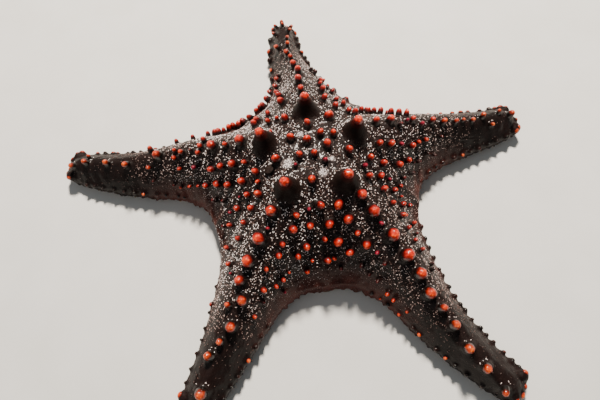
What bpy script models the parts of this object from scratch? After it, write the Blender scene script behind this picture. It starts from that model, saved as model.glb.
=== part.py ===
"""A knobby cushion star at life size, lying on its underside as on the sea floor.

The body is a domed disc with five blunt arms, parted into the disc and the arms by thin flat cuts.
Its tubercles, short edge spines and tube feet are joined to the disc or arm that they grow from.
Lengths are in metres, angles in degrees, +Z is up and the floor is z = 0.

A place on the body is given by an arm, the distance s from the star's centre along that arm's
middle line, and the distance v to the left of that line.
"""
import math
import random

import bmesh
import bpy
from mathutils import Matrix, Vector

# Plan of the star
ARM_NAMES = ("north", "west", "southwest", "southeast", "east")
ARM_LENGTHS = (0.104, 0.124, 0.112, 0.125, 0.109)
ARM_SLIMNESS = (0.20, 0.0, 0.0, 0.09, 0.0)
FIRST_HEADING = 91.0
ARM_SPREAD = 72.0
TURN_PART_WAY = (13.0, 16.0, 9.0, -10.0, -13.0)
TURN_AT_TIP = (-12.0, -5.0, 1.0, 12.5, -2.0)
TURN_REACHED_AT = 0.070
NOTCH_RADIUS = 0.0503
NODE_GAP = 0.0003

# Heights and widths of the body
CENTRE_HEIGHT = 0.044
NOTCH_EDGE = 0.010
SADDLE_POWER = 2.2
EDGE_HEIGHTS = ((0.0, NOTCH_EDGE), (0.15, 0.0085), (0.80, 0.0072), (1.0, 0.0048))
DISC_RIDGE = ((0.0, 0.0440), (0.020, 0.0420), (0.0407, 0.0345))
ARM_RIDGE = ((0.18, 0.0288), (0.38, 0.0236), (0.58, 0.0194), (0.78, 0.0158), (0.92, 0.0125), (1.0, 0.0066))
ARM_WIDTHS = ((0.0, 0.0188), (0.30, 0.0142), (0.60, 0.0110), (0.85, 0.0087), (1.0, 0.0073))
SLIM_BY = 0.50
FLARE_LENGTH = 0.0075
RIDGE_ASIDE_AT_TIP = (0.0, 0.0, 0.0, -0.0060, 0.0)
RIDGE_ASIDE_POWER = 3
RIDGE_ASIDE_MOST = 0.45
TIP_ROUND = 0.0075
TIP_BLUNT = 0.25
ROUNDER_OVER = 0.015
SIDE_BULGE = 0.0008
SIDE_TUCK = 0.0012
TUCK_FADES_BELOW = 0.0085
LOWER_EDGE = 0.0004
LOWER_EDGE_RISE = 0.0018
FLAT_SHARE = 0.80

# Underside
GROOVE_HALF = 0.0036
GROOVE_HALF_TIP = 0.0014
GROOVE_DEPTH = 0.0052
GROOVE_DEPTH_TIP = 0.0026
GROOVE_ROOF = 0.62
GROOVE_WIDEST = 0.5
MOUTH_RADIUS = 0.0068
MOUTH_DEPTH = 0.0085
MOUTH_SIDES = 20

# Tubercles: the five great ones, the rows beside each ridge, and arm by arm those inside the ring of
# great ones and those along the ridge, as (s, v, radius) in millimetres
MM = 0.001
GREAT_AT = 0.0203
GREAT_RADIUS = 0.0066
GREAT_HEIGHT = 0.0095
CENTRE_KNOBS = (
    ((11.2, 0.2, 1.6), (2.6, 1.5, 1.7), (17.1, 9.0, 1.7), (14.8, -9.3, 2.0)),
    ((9.0, -2.5, 1.6), (12.9, 7.2, 1.8)),
    ((5.6, -2.2, 1.5), (12.1, 7.1, 1.8)),
    ((3.2, -1.7, 1.5),),
    ((5.8, 4.2, 1.5), (10.8, 1.6, 1.4), (6.1, -2.0, 1.8), (13.3, -7.0, 1.7)))
RIDGE_KNOBS = (
    ((32.7, 0.6, 1.7), (41.1, 0.9, 2.0), (50.4, 0.0, 1.8), (57.0, 0.8, 1.8), (64.3, 0.5, 1.4), (69.3, 0.9, 1.6),
     (77.2, -0.8, 1.3), (83.5, -1.4, 1.2), (93.0, -2.0, 1.2)),
    ((30.6, -0.2, 2.4), (37.4, 1.1, 1.3), (43.9, 1.0, 2.2), (50.2, 0.6, 1.3), (59.8, 1.6, 1.3), (72.0, 0.6, 2.1),
     (88.2, 2.1, 1.6), (98.6, 1.0, 1.5), (110.4, 0.8, 1.5)),
    ((30.8, -0.8, 2.5), (42.0, -0.5, 2.7), (51.1, -0.9, 2.6), (59.0, -1.0, 2.2), (65.6, 1.8, 2.2), (76.5, 1.3, 2.2),
     (83.3, -0.1, 1.5), (89.8, -1.6, 1.9), (103.3, 1.0, 2.4)),
    ((28.2, 0.5, 2.3), (35.7, 0.0, 2.6), (47.2, 0.0, 2.7), (56.6, -0.1, 2.8), (65.1, -0.1, 2.5), (73.2, -1.0, 2.5),
     (80.5, -0.5, 1.7), (88.1, -1.1, 2.0), (97.7, -2.8, 2.1), (107.0, -3.6, 2.0), (117.0, -4.8, 1.6)),
    ((31.0, 1.6, 1.7), (38.0, 1.0, 1.9), (49.2, 0.1, 1.4), (59.2, -0.8, 1.5), (65.2, -1.3, 1.5), (71.7, -1.3, 1.3),
     (80.7, -1.2, 1.2), (87.0, 0.1, 1.4), (97.0, 0.4, 1.4)))
FOOT_WIDER = 1.10
KNOB_TALLNESS = ((0.0011, 2.3), (0.0030, 1.5))
ROW_PITCH = 0.0066
ROW_ENDS = (0.40, 0.32, 0.12, 0.02)
KNOB_PITCH = 0.0070
KNOB_RADIUS = 0.0021
KNOB_SHRINK = 0.45
KNOB_VARIETY = 0.16
SMALL_SHARE = 0.38
SMALL_SIZE = 0.55
KNOB_DRIFT = 0.0008
SMALLEST_KNOB = 0.00115
ROWS_FROM = 0.0215
SHOULDERS = ((0.60, 0.72),)
GREAT_SHOULDERS = ((0.58, 0.46), (0.42, 0.80))
GREAT_CLEARANCE = 0.5
SINK = 0.0016
ROOT_SHARE = 0.8
UPRIGHT = 0.12
LEAN = 0.08
GREAT_LEAN = -0.06

# Marginal rows: small knobs on the upper edge of the side wall, short spines on its lower edge
EDGE_KNOB_PITCH = 0.0072
EDGE_KNOB_RADIUS = 0.0014
EDGE_KNOB_HEIGHT = 0.0021
EDGE_KNOB_LIFT = 1.0
EDGE_ROW_START = 0.6
SPINE_PITCH = 0.0084
SPINE_RADIUS = 0.0015
SPINE_LENGTH = 0.0024
SPINE_HEIGHT = 0.0040
SPINE_HIGHEST = 0.6
SPINE_LIFT = 0.1
TIP_CLEAR = 0.0030

# Tube feet in the grooves
FOOT_PITCH = 0.0125
FOOT_RADIUS = 0.0007
FOOT_OUT = 0.46
FOOT_WIDEST = 0.42
SUCKER_RADIUS = 0.0011
FOOT_CLEAR = 0.0004
FOOT_SINK = 0.0010

# Small parts
MADREPORITE_ARM = 1
MADREPORITE_AT = 0.0194
MADREPORITE_RADIUS = 0.0024
MADREPORITE_SIDES = 12
MADREPORITE_SEAT = 0.0014
MADREPORITE_RISE = 0.0011
MADREPORITE_TOP = ((1.0, 0.4), (0.75, 0.85), (0.0, 1.0))
MEMBRANE_DEEP = 0.0020
MEMBRANE_SIDES = 12
MEMBRANE_FOLDS = ((0.0, 0.45), (0.18, 0.80), (0.45, 1.0), (0.85, 0.70), (1.0, 0.30), (0.96, 0.0), (0.0, 0.0))
EYESPOT_INSET = 0.0022
EYESPOT_LENGTH = 0.0024
EYESPOT_HALF = 0.0007
EYESPOT_SIDES = 8
EYESPOT_SHAPE = ((0, -1.0), (0.7, -0.7), (1.0, 0.0), (0.7, 0.7), (0, 1.0))

# Fineness of the meshes
TOP_STEPS = 10
GREAT_SIDES = 10
RIDGE_SIDES = 6
SIDES = 5
SPINE_SIDES = 4
SEED = 41
AXIS_STEP = 0.001
PROBE = 0.0002
MERGE = 0.000001
ARM_STATIONS = (0.0, 0.04, 0.09, 0.16, 0.26, 0.39, 0.53, 0.67, 0.79, 0.88, 0.935, 0.975, 1.0)
DISC_RINGS = (0.12, 0.30, 0.48, 0.66, 0.84, 1.0)

HALF_SPREAD = math.radians(ARM_SPREAD / 2)
SIDE_AT = NOTCH_RADIUS * math.cos(HALF_SPREAD)
HALF_SIDE = NOTCH_RADIUS * math.sin(HALF_SPREAD)
IN_PLACE = Matrix.Identity(4)
MADREPORITE_PLACE = (MADREPORITE_AT * math.cos(HALF_SPREAD), MADREPORITE_AT * math.sin(HALF_SPREAD))


def between(points, x):
    """Straight-line value at x through (x, y) points."""
    if x <= points[0][0]:
        return points[0][1]
    for (x0, y0), (x1, y1) in zip(points, points[1:]):
        if x <= x1:
            return y0 + (y1 - y0) * (x - x0) / (x1 - x0)
    return points[-1][1]


def smooth_between(points, x):
    """Smooth value at x through (x, y) points, with slopes taken from each point's neighbours."""
    if x <= points[0][0]:
        return points[0][1]
    if x >= points[-1][0]:
        return points[-1][1]
    i = max(n for n in range(len(points) - 1) if points[n][0] <= x)
    slopes = []
    for n in (i, i + 1):
        low = points[max(n - 1, 0)]
        high = points[min(n + 1, len(points) - 1)]
        slopes.append((high[1] - low[1]) / (high[0] - low[0]))
    (x0, y0), (x1, y1) = points[i], points[i + 1]
    span = x1 - x0
    t = (x - x0) / span
    rise = t * t * (3 - 2 * t)
    return (y0 + (y1 - y0) * rise
            + span * slopes[0] * (t - 2 * t * t + t ** 3)
            + span * slopes[1] * (t ** 3 - t * t))


def ease(x):
    """0 below 0, 1 above 1, and a smooth step between."""
    t = min(max(x, 0.0), 1.0)
    return t * t * (3 - 2 * t)


def share(arm, s):
    """How far s is along the free arm, 0 at the disc's side and 1 at the tip."""
    return (s - SIDE_AT) / (ARM_LENGTHS[arm] - SIDE_AT)


def heading(arm, s):
    """Direction of an arm's middle line, in radians."""
    turns = ((SIDE_AT, 0.0), (TURN_REACHED_AT, TURN_PART_WAY[arm]), (ARM_LENGTHS[arm], TURN_AT_TIP[arm]))
    return math.radians(FIRST_HEADING + ARM_SPREAD * arm + between(turns, s))


def place(arm, s, v, z):
    """Point in space of a place on the star."""
    steps = max(1, round(s / AXIS_STEP))
    step = s / steps
    x = 0.0
    y = 0.0
    for i in range(steps):
        angle = heading(arm, (i + 0.5) * step)
        x += step * math.cos(angle)
        y += step * math.sin(angle)
    angle = heading(arm, s)
    return Vector((x - v * math.sin(angle), y + v * math.cos(angle), z))


def half_width(arm, s):
    """Half the body's width: the wedge inside the disc, the tapering arm with its round end beyond."""
    if s <= SIDE_AT:
        return s * math.tan(HALF_SPREAD)
    slimmer = ARM_SLIMNESS[arm] * ease(share(arm, s) / SLIM_BY)
    width = smooth_between(ARM_WIDTHS, share(arm, s)) * (1 - slimmer)
    width += (HALF_SIDE - ARM_WIDTHS[0][1]) * math.exp(-(s - SIDE_AT) / FLARE_LENGTH)
    into_round = max(0.0, (s - (ARM_LENGTHS[arm] - TIP_ROUND)) / TIP_ROUND)
    return width * (TIP_BLUNT + (1 - TIP_BLUNT) * math.sqrt(max(0.0, 1 - into_round ** 2)))


def ridge_height(arm, s):
    """Height of the arm's middle line, where its row of large knobs stands."""
    free = ARM_LENGTHS[arm] - SIDE_AT
    points = DISC_RIDGE + tuple((SIDE_AT + u * free, z) for u, z in ARM_RIDGE)
    return smooth_between(points, s)


def ridge_aside(arm, s):
    """How far to the left of its middle line an arm's ridge leans."""
    aside = RIDGE_ASIDE_AT_TIP[arm] * max(0.0, share(arm, s)) ** RIDGE_ASIDE_POWER
    most = RIDGE_ASIDE_MOST * half_width(arm, s)
    return min(max(aside, -most), most)


def edge_height(arm, s):
    """Height of the upper edge of the side wall; inside the disc, of the saddle between two arms."""
    if s <= SIDE_AT:
        out = s / SIDE_AT
        return NOTCH_EDGE + (CENTRE_HEIGHT - NOTCH_EDGE) * (1 - out ** SADDLE_POWER)
    return between(EDGE_HEIGHTS, share(arm, s))


def top_height(arm, s, v):
    """Height of the upper surface."""
    aside = ridge_aside(arm, s)
    span = half_width(arm, s) - math.copysign(aside, aside * (v - aside))
    across = min(abs(v - aside) / span, 1.0)
    rounder = ease((s - SIDE_AT) / ROUNDER_OVER)
    swell = (1 - rounder) * (1 + math.cos(math.pi * across)) / 2 + rounder * math.cos(math.pi * across / 2)
    edge = edge_height(arm, s)
    return edge + (ridge_height(arm, s) - edge) * swell


def groove(arm, s):
    """Half width and depth of the groove along the underside."""
    u = max(share(arm, s), 0.0)
    half = GROOVE_HALF + (GROOVE_HALF_TIP - GROOVE_HALF) * u
    depth = GROOVE_DEPTH + (GROOVE_DEPTH_TIP - GROOVE_DEPTH) * u
    if s > SIDE_AT:
        half = min(half, GROOVE_WIDEST * half_width(arm, s))
    return half, depth


def arm_section(arm, s):
    """Outline of an arm across its middle line, as (v, z) points: over the top, then the underside."""
    width = half_width(arm, s)
    edge = edge_height(arm, s)
    free = ease((s - SIDE_AT) / ROUNDER_OVER)
    over = [width * (1 - 2 * i / TOP_STEPS) for i in range(TOP_STEPS + 1)]
    points = [(v, top_height(arm, s, v)) for v in over]
    half, depth = groove(arm, s)
    flat = half + (width - half) * FLAT_SHARE
    tuck = SIDE_TUCK * free * min(1.0, width / TUCK_FADES_BELOW)
    under = [(width + SIDE_BULGE * free, 0.5 * edge),
             (width - tuck, LOWER_EDGE + LOWER_EDGE_RISE * free),
             (flat, 0.0),
             (half, 0.0),
             (half * GROOVE_ROOF, depth)]
    points += [(-v, z) for v, z in under]
    points += list(reversed(under))
    return points


def loft(rings):
    """Skin a list of rings of points, closed at both ends."""
    bm = bmesh.new()
    rows = [[bm.verts.new(point) for point in ring] for ring in rings]
    count = len(rows[0])
    for low, high in zip(rows, rows[1:]):
        for i in range(count):
            j = (i + 1) % count
            bm.faces.new((low[i], low[j], high[j], high[i]))
    bm.faces.new(rows[0])
    bm.faces.new(rows[-1])
    bmesh.ops.recalc_face_normals(bm, faces=bm.faces)
    return bm


def turned(profile, sides, matrix=IN_PLACE, crown_from=None):
    """A closed turned form: a ball whose rings take the (radius, height) pairs of a profile.

    Faces above the ring crown_from take the second material.
    """
    bm = bmesh.new()
    rings = len(profile) - 1
    bmesh.ops.create_uvsphere(bm, u_segments=sides, v_segments=rings, radius=1.0)
    ring_of = {}
    for vert in bm.verts:
        ring = round(rings * math.acos(min(max(-vert.co.z, -1.0), 1.0)) / math.pi)
        radius, height = profile[ring]
        flat = math.hypot(vert.co.x, vert.co.y)
        scale = radius / flat if 0 < ring < rings else 0.0
        vert.co = matrix @ Vector((vert.co.x * scale, vert.co.y * scale, height))
        ring_of[vert] = ring
    for face in bm.faces:
        if crown_from is not None and min(ring_of[vert] for vert in face.verts) >= crown_from:
            face.material_index = 1
    return bm


def new_object(name, bm, collection, *materials):
    """Turn a bmesh into an object with its materials."""
    mesh = bpy.data.meshes.new(name)
    bm.to_mesh(mesh)
    bm.free()
    for material in materials:
        mesh.materials.append(material)
    obj = bpy.data.objects.new(name, mesh)
    collection.objects.link(obj)
    return obj


def new_collection(name):
    """Collection for pieces that are joined to a node or cut from it."""
    collection = bpy.data.collections.new(name)
    bpy.context.scene.collection.children.link(collection)
    return collection


def make_material(name, colour, roughness):
    """Principled material of one colour."""
    material = bpy.data.materials.new(name)
    material.use_nodes = True
    shader = material.node_tree.nodes["Principled BSDF"]
    shader.inputs["Base Color"].default_value = (*colour, 1.0)
    shader.inputs["Roughness"].default_value = roughness
    material.diffuse_color = (*colour, 1.0)
    return material


def combine(obj, pieces, operation):
    """Join closed pieces to an object, or cut them from it, and remove them."""
    modifier = obj.modifiers.new(operation.lower(), "BOOLEAN")
    modifier.operation = operation
    modifier.operand_type = "COLLECTION"
    modifier.collection = pieces
    modifier.solver = "EXACT"
    modifier.material_mode = "TRANSFER"
    bpy.context.view_layer.objects.active = obj
    bpy.ops.object.modifier_apply(modifier=modifier.name)
    for piece in list(pieces.objects):
        bpy.data.objects.remove(piece, do_unlink=True)
    bpy.data.collections.remove(pieces)


def connected_groups(bm):
    """Lists of the points of each separate surface in a mesh."""
    seen = set()
    groups = []
    for start in bm.verts:
        if start in seen:
            continue
        seen.add(start)
        group = [start]
        for vert in group:
            for edge in vert.link_edges:
                other = edge.other_vert(vert)
                if other not in seen:
                    seen.add(other)
                    group.append(other)
        groups.append(group)
    return groups


def reach(group):
    """Sum of the three spans of a list of points."""
    return sum(max(v.co[i] for v in group) - min(v.co[i] for v in group) for i in range(3))


def keep_largest(obj):
    """Keep only the largest closed surface of an object, in triangles."""
    bm = bmesh.new()
    bm.from_mesh(obj.data)
    groups = sorted(connected_groups(bm), key=reach)
    for group in groups[:-1]:
        bmesh.ops.delete(bm, geom=group, context="VERTS")
    bmesh.ops.dissolve_degenerate(bm, edges=bm.edges, dist=MERGE)
    bmesh.ops.dissolve_verts(bm, verts=[vert for vert in bm.verts if len(vert.link_edges) == 2])
    bmesh.ops.triangulate(bm, faces=bm.faces)
    bm.to_mesh(obj.data)
    bm.free()


def surface_point(arm, s, v):
    """Point on the upper surface."""
    return place(arm, s, v, top_height(arm, s, v))


def frame_at(origin, ahead, outward):
    """Matrix with its origin at a point, Z outward and X as near ahead as can be."""
    across = outward.cross(ahead).normalized()
    turn = Matrix((across.cross(outward), across, outward)).transposed().to_4x4()
    return Matrix.Translation(origin) @ turn


def surface_frame(arm, s, v, lean=0.0):
    """Matrix whose Z leaves the upper surface, drawn upright and leant outwards along the arm."""
    origin = surface_point(arm, s, v)
    ahead = (surface_point(arm, s + PROBE, v) - origin).normalized()
    left = (surface_point(arm, s, v + PROBE) - origin).normalized()
    outward = ahead.cross(left).normalized() + Vector((0, 0, UPRIGHT)) + lean * ahead
    return frame_at(origin, ahead, outward.normalized())


def edge_frame(arm, s, side, height, lift):
    """Matrix whose Z leaves an arm's side wall, raised by lift from the level."""
    origin = place(arm, s, side * half_width(arm, s), height)
    ahead = (place(arm, s + PROBE, side * half_width(arm, s + PROBE), height) - origin).normalized()
    outward = Vector((-ahead.y * side, ahead.x * side, lift))
    return frame_at(origin, ahead, outward.normalized())


def add_knob(pieces, matrix, radius, height, sides, materials):
    """A blunt tubercle: a dark cone with an orange-red crown, its root sunk in the body."""
    shoulders = GREAT_SHOULDERS if sides > SIDES else SHOULDERS
    profile = [(0, -SINK), (radius, -SINK * ROOT_SHARE)]
    profile += [(radius * wide, height * high) for wide, high in shoulders]
    profile.append((0, height))
    new_object("knob", turned(profile, sides, matrix, len(profile) - 2), pieces, *materials)


def place_clear(arm, s, v, radius):
    """A place moved clear of the cut between the disc and its arm, with room for the tilt of the root."""
    clear = radius + SINK / 2 + NODE_GAP
    if abs(s - SIDE_AT) < clear:
        s = SIDE_AT + math.copysign(clear, s - SIDE_AT)
    return arm, s, v


def has_room(arm, s, v, radius):
    """Whether a knob stands on the upper surface and clear of the great ones and the sieve plate."""
    inside = abs(v) < half_width(arm, s) + NODE_GAP - (radius if s > SIDE_AT else 0.0)
    off_centre = math.hypot(s, v) > ROWS_FROM
    off_great = math.hypot(s - GREAT_AT, v) > GREAT_RADIUS + radius * GREAT_CLEARANCE
    apart = place(arm, s, v, 0.0) - place(MADREPORITE_ARM, *MADREPORITE_PLACE, 0.0)
    return inside and off_centre and off_great and apart.length > MADREPORITE_RADIUS + radius + 2 * NODE_GAP


def side_row_knobs(arm):
    """Knobs in rows beside an arm's ridge row, as (s, v, radius) places; they shrink outwards."""
    draw = random.Random(SEED + arm)
    places = []
    for side in (1, -1):
        for row, row_end in enumerate(ROW_ENDS, start=1):
            first = row * ROW_PITCH / math.tan(HALF_SPREAD)
            s = first if side > 0 else first + KNOB_PITCH / 2
            end = SIDE_AT + row_end * (ARM_LENGTHS[arm] - SIDE_AT)
            while s < end:
                narrowing = smooth_between(ARM_WIDTHS, share(arm, s)) / ARM_WIDTHS[0][1]
                size = 1 - KNOB_SHRINK * max(0.0, s - first) / (end - first)
                size *= SMALL_SIZE if draw.random() < SMALL_SHARE else 1.0
                size *= 1 + KNOB_VARIETY * draw.uniform(-1, 1)
                v = side * (row * ROW_PITCH * narrowing + KNOB_DRIFT * draw.uniform(-1, 1))
                places.append((s, v, KNOB_RADIUS * size))
                s += KNOB_PITCH * (1 + KNOB_VARIETY * draw.uniform(-1, 1))
    return [place for place in places if has_room(arm, *place)]


def add_knobs(arm, pieces, materials, on_disc):
    """The tubercles of one arm, or those on its wedge of the disc; the smallest are left out."""
    rows = [(RIDGE_SIDES, s * MM, v * MM, crown * MM * FOOT_WIDER) for s, v, crown in RIDGE_KNOBS[arm]]
    rows += [(SIDES, *spot) for spot in side_row_knobs(arm)]
    for sides, s, v, radius in rows:
        if (s < SIDE_AT) == on_disc and radius > SMALLEST_KNOB:
            matrix = surface_frame(*place_clear(arm, s, v, radius), LEAN)
            add_knob(pieces, matrix, radius, radius * between(KNOB_TALLNESS, radius), sides, materials)


def add_centre_knobs(pieces, materials):
    """The five great tubercles, and the knobs inside their ring."""
    for arm in range(len(ARM_NAMES)):
        great = surface_frame(arm, GREAT_AT, 0.0, GREAT_LEAN)
        add_knob(pieces, great, GREAT_RADIUS, GREAT_HEIGHT, GREAT_SIDES, materials)
        for s, v, crown in CENTRE_KNOBS[arm]:
            radius = crown * MM * FOOT_WIDER
            matrix = surface_frame(arm, s * MM, v * MM, LEAN)
            add_knob(pieces, matrix, radius, radius * between(KNOB_TALLNESS, radius), SIDES, materials)


def edge_places(arm, pitch):
    """Distances along an arm, and sides, for the rows along the edges of its side walls."""
    length = ARM_LENGTHS[arm] - TIP_CLEAR - SIDE_AT
    count = round(length / pitch)
    return [(SIDE_AT + (i + EDGE_ROW_START) * length / count, side) for i in range(count) for side in (1, -1)]


def add_edge_knobs(arm, pieces, materials):
    """Small knobs along the upper edges of an arm's side walls."""
    draw = random.Random(SEED + len(ARM_NAMES) + arm)
    for s, side in edge_places(arm, EDGE_KNOB_PITCH):
        size = 1 + KNOB_VARIETY * draw.uniform(-1, 1)
        matrix = edge_frame(arm, s, side, edge_height(arm, s), EDGE_KNOB_LIFT)
        add_knob(pieces, matrix, EDGE_KNOB_RADIUS * size, EDGE_KNOB_HEIGHT * size, SIDES, materials)


def add_edge_spines(arm, pieces, material):
    """Short pointed spines along the lower edges of an arm's side walls."""
    profile = ((0, -SINK), (SPINE_RADIUS, -SINK / 2), (0, SPINE_LENGTH))
    for s, side in edge_places(arm, SPINE_PITCH):
        height = min(SPINE_HEIGHT, SPINE_HIGHEST * edge_height(arm, s))
        matrix = edge_frame(arm, s, side, height, SPINE_LIFT)
        new_object("spine", turned(profile, SPINE_SIDES, matrix), pieces, material)


def add_feet(arm, pieces, material, start, end):
    """Two rows of tube feet with suckers, hanging from the roof of the groove to just over the floor."""
    count = round((end - start) / FOOT_PITCH)
    for i in range(count):
        s = start + (i + 0.5) * (end - start) / count
        half, depth = groove(arm, s)
        slim = min(1.0, half * FOOT_WIDEST / SUCKER_RADIUS)
        profile = ((0, FOOT_CLEAR), (SUCKER_RADIUS * slim, FOOT_CLEAR),
                   (FOOT_RADIUS * slim, depth + FOOT_SINK), (0, depth + FOOT_SINK))
        for side in (1, -1):
            matrix = Matrix.Translation(place(arm, s, side * half * FOOT_OUT, 0.0))
            new_object("tube_foot", turned(profile, SIDES, matrix), pieces, material)


def make_arm(arm, parts, skin, crown):
    """One arm, from its cut face by the disc to its round tip, with its tubercles, spines and feet."""
    start = SIDE_AT + NODE_GAP / 2
    rings = []
    for u in ARM_STATIONS:
        s = start + u * (ARM_LENGTHS[arm] - start)
        rings.append([place(arm, s, v, z) for v, z in arm_section(arm, s)])
    body = new_object(f"arm_{ARM_NAMES[arm]}", loft(rings), parts, skin)
    pieces = new_collection("arm_pieces")
    add_knobs(arm, pieces, (skin, crown), on_disc=False)
    add_edge_knobs(arm, pieces, (skin, crown))
    add_edge_spines(arm, pieces, skin)
    add_feet(arm, pieces, skin, start + SUCKER_RADIUS, ARM_LENGTHS[arm] - 2 * EYESPOT_INSET)
    combine(body, pieces, "UNION")
    keep_largest(body)


def disc_ring(out, height):
    """Ring of points round the disc, where height gives z from an arm, s and v."""
    points = []
    for arm in range(len(ARM_NAMES)):
        s = out * (SIDE_AT - NODE_GAP / 2)
        for i in range(TOP_STEPS):
            v = half_width(arm, s) * (2 * i / TOP_STEPS - 1)
            points.append(place(arm, s, v, height(arm, s, v)))
    return points


def add_hollow_cutters(cutters, material):
    """Cutters for the five grooves that meet at the mouth, for its hollow, and for the plate's seat."""
    for arm in range(len(ARM_NAMES)):
        half, depth = groove(arm, SIDE_AT)
        side = ((half, -half), (half, 0.0), (half * GROOVE_ROOF, depth))
        outline = side + tuple((-v, z) for v, z in reversed(side))
        rings = [[place(arm, s, v, z) for v, z in outline] for s in (0.0, SIDE_AT + half)]
        new_object("groove_cutter", loft(rings), cutters, material)
    mouth = ((0, -MOUTH_DEPTH), (MOUTH_RADIUS, -MOUTH_DEPTH), (MOUTH_RADIUS, MOUTH_DEPTH), (0, MOUTH_DEPTH))
    new_object("mouth_cutter", turned(mouth, MOUTH_SIDES), cutters, material)
    wide = MADREPORITE_RADIUS + NODE_GAP
    seat = ((0, -MADREPORITE_SEAT), (wide, -MADREPORITE_SEAT), (wide, GREAT_HEIGHT), (0, GREAT_HEIGHT))
    matrix = surface_frame(MADREPORITE_ARM, *MADREPORITE_PLACE)
    new_object("seat_cutter", turned(seat, MADREPORITE_SIDES, matrix), cutters, material)


def make_disc(parts, skin, crown):
    """The domed disc, with the grooves and the mouth's hollow in its underside, and its tubercles."""
    rings = [disc_ring(1.0, lambda arm, s, v: 0.0)]
    rings += [disc_ring(out, top_height) for out in reversed(DISC_RINGS)]
    dome = loft(rings)
    bmesh.ops.poke(dome, faces=[max(dome.faces, key=lambda face: face.calc_center_median().z)])
    disc = new_object("disc", dome, parts, skin)
    cutters = new_collection("cutters")
    add_hollow_cutters(cutters, skin)
    combine(disc, cutters, "DIFFERENCE")
    pieces = new_collection("disc_pieces")
    add_centre_knobs(pieces, (skin, crown))
    for arm in range(len(ARM_NAMES)):
        add_knobs(arm, pieces, (skin, crown), on_disc=True)
        add_feet(arm, pieces, skin, MOUTH_RADIUS + SUCKER_RADIUS, SIDE_AT - SUCKER_RADIUS)
    combine(disc, pieces, "UNION")
    keep_largest(disc)


def make_madreporite(parts, material):
    """The sieve plate, a low button sunk in its seat."""
    base = NODE_GAP - MADREPORITE_SEAT
    profile = [(0, base), (MADREPORITE_RADIUS, base)]
    profile += [(MADREPORITE_RADIUS * out, MADREPORITE_RISE * up) for out, up in MADREPORITE_TOP]
    matrix = surface_frame(MADREPORITE_ARM, *MADREPORITE_PLACE)
    new_object("madreporite", turned(profile, MADREPORITE_SIDES, matrix), parts, material)


def make_mouth(parts, material):
    """The membrane round the mouth, a low ring under the roof of the hollow, with a puckered middle."""
    roof = MOUTH_DEPTH - NODE_GAP
    outer = MOUTH_RADIUS - 2 * NODE_GAP
    profile = [(outer * out, roof - MEMBRANE_DEEP * down) for out, down in MEMBRANE_FOLDS]
    new_object("mouth", turned(profile, MEMBRANE_SIDES), parts, material)


def make_eyespot(arm, parts, material):
    """The short feeler with the eyespot, under the roof of the groove's outer end."""
    s = ARM_LENGTHS[arm] - EYESPOT_INSET
    depth = groove(arm, s)[1]
    middle = place(arm, s, 0.0, depth - NODE_GAP - EYESPOT_HALF)
    turn = Matrix.Rotation(heading(arm, s), 4, "Z")
    size = Matrix.Diagonal((EYESPOT_LENGTH / 2, EYESPOT_HALF, EYESPOT_HALF, 1.0))
    matrix = Matrix.Translation(middle) @ turn @ size
    new_object(f"eyespot_{ARM_NAMES[arm]}", turned(EYESPOT_SHAPE, EYESPOT_SIDES, matrix), parts, material)


def centre_on_origin(parts):
    """Parent the nodes to an empty placed so that the whole star's box is centred over the origin."""
    spots = [vert.co for obj in parts.objects for vert in obj.data.vertices]
    middle = [(min(p[i] for p in spots) + max(p[i] for p in spots)) / 2 for i in (0, 1)]
    star = bpy.data.objects.new("star", None)
    for obj in parts.objects:
        obj.parent = star
    parts.objects.link(star)
    star.location = (-middle[0], -middle[1], 0.0)


def main():
    for obj in list(bpy.data.objects):
        bpy.data.objects.remove(obj, do_unlink=True)
    parts = bpy.data.collections.new("cushion star")
    bpy.context.scene.collection.children.link(parts)
    skin = make_material("wet dark skin", (0.018, 0.011, 0.009), 0.45)
    crown = make_material("orange-red crown", (0.68, 0.05, 0.015), 0.35)
    plate = make_material("sieve plate", (0.20, 0.13, 0.09), 0.6)
    membrane = make_material("mouth membrane", (0.30, 0.14, 0.09), 0.4)
    eye = make_material("red eyespot", (0.45, 0.03, 0.02), 0.3)
    make_disc(parts, skin, crown)
    for arm in range(len(ARM_NAMES)):
        make_arm(arm, parts, skin, crown)
        make_eyespot(arm, parts, eye)
    make_madreporite(parts, plate)
    make_mouth(parts, membrane)
    centre_on_origin(parts)


main()
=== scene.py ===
"""A knobby cushion star, alive and wet, lying on a plain pale floor.

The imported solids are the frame. One skin stands for the disc and the five arms, with the stalks of
the tubercles and the teeth of the edges in it. On the skin grow the orange-red crowns, the pale
papulae and, underneath, the granules, the spines beside the grooves and the tube feet.
Lengths are in metres, angles in degrees, +Z is up and the floor is z = 0.

A place on the body is given by an arm, the distance s from the star's centre along that arm's
middle line, and the distance v to the left of that line.
"""
import math

import bpy
import numpy as np
from mathutils import Matrix, Vector, noise
from mathutils.bvhtree import BVHTree
from mathutils.kdtree import KDTree


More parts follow.
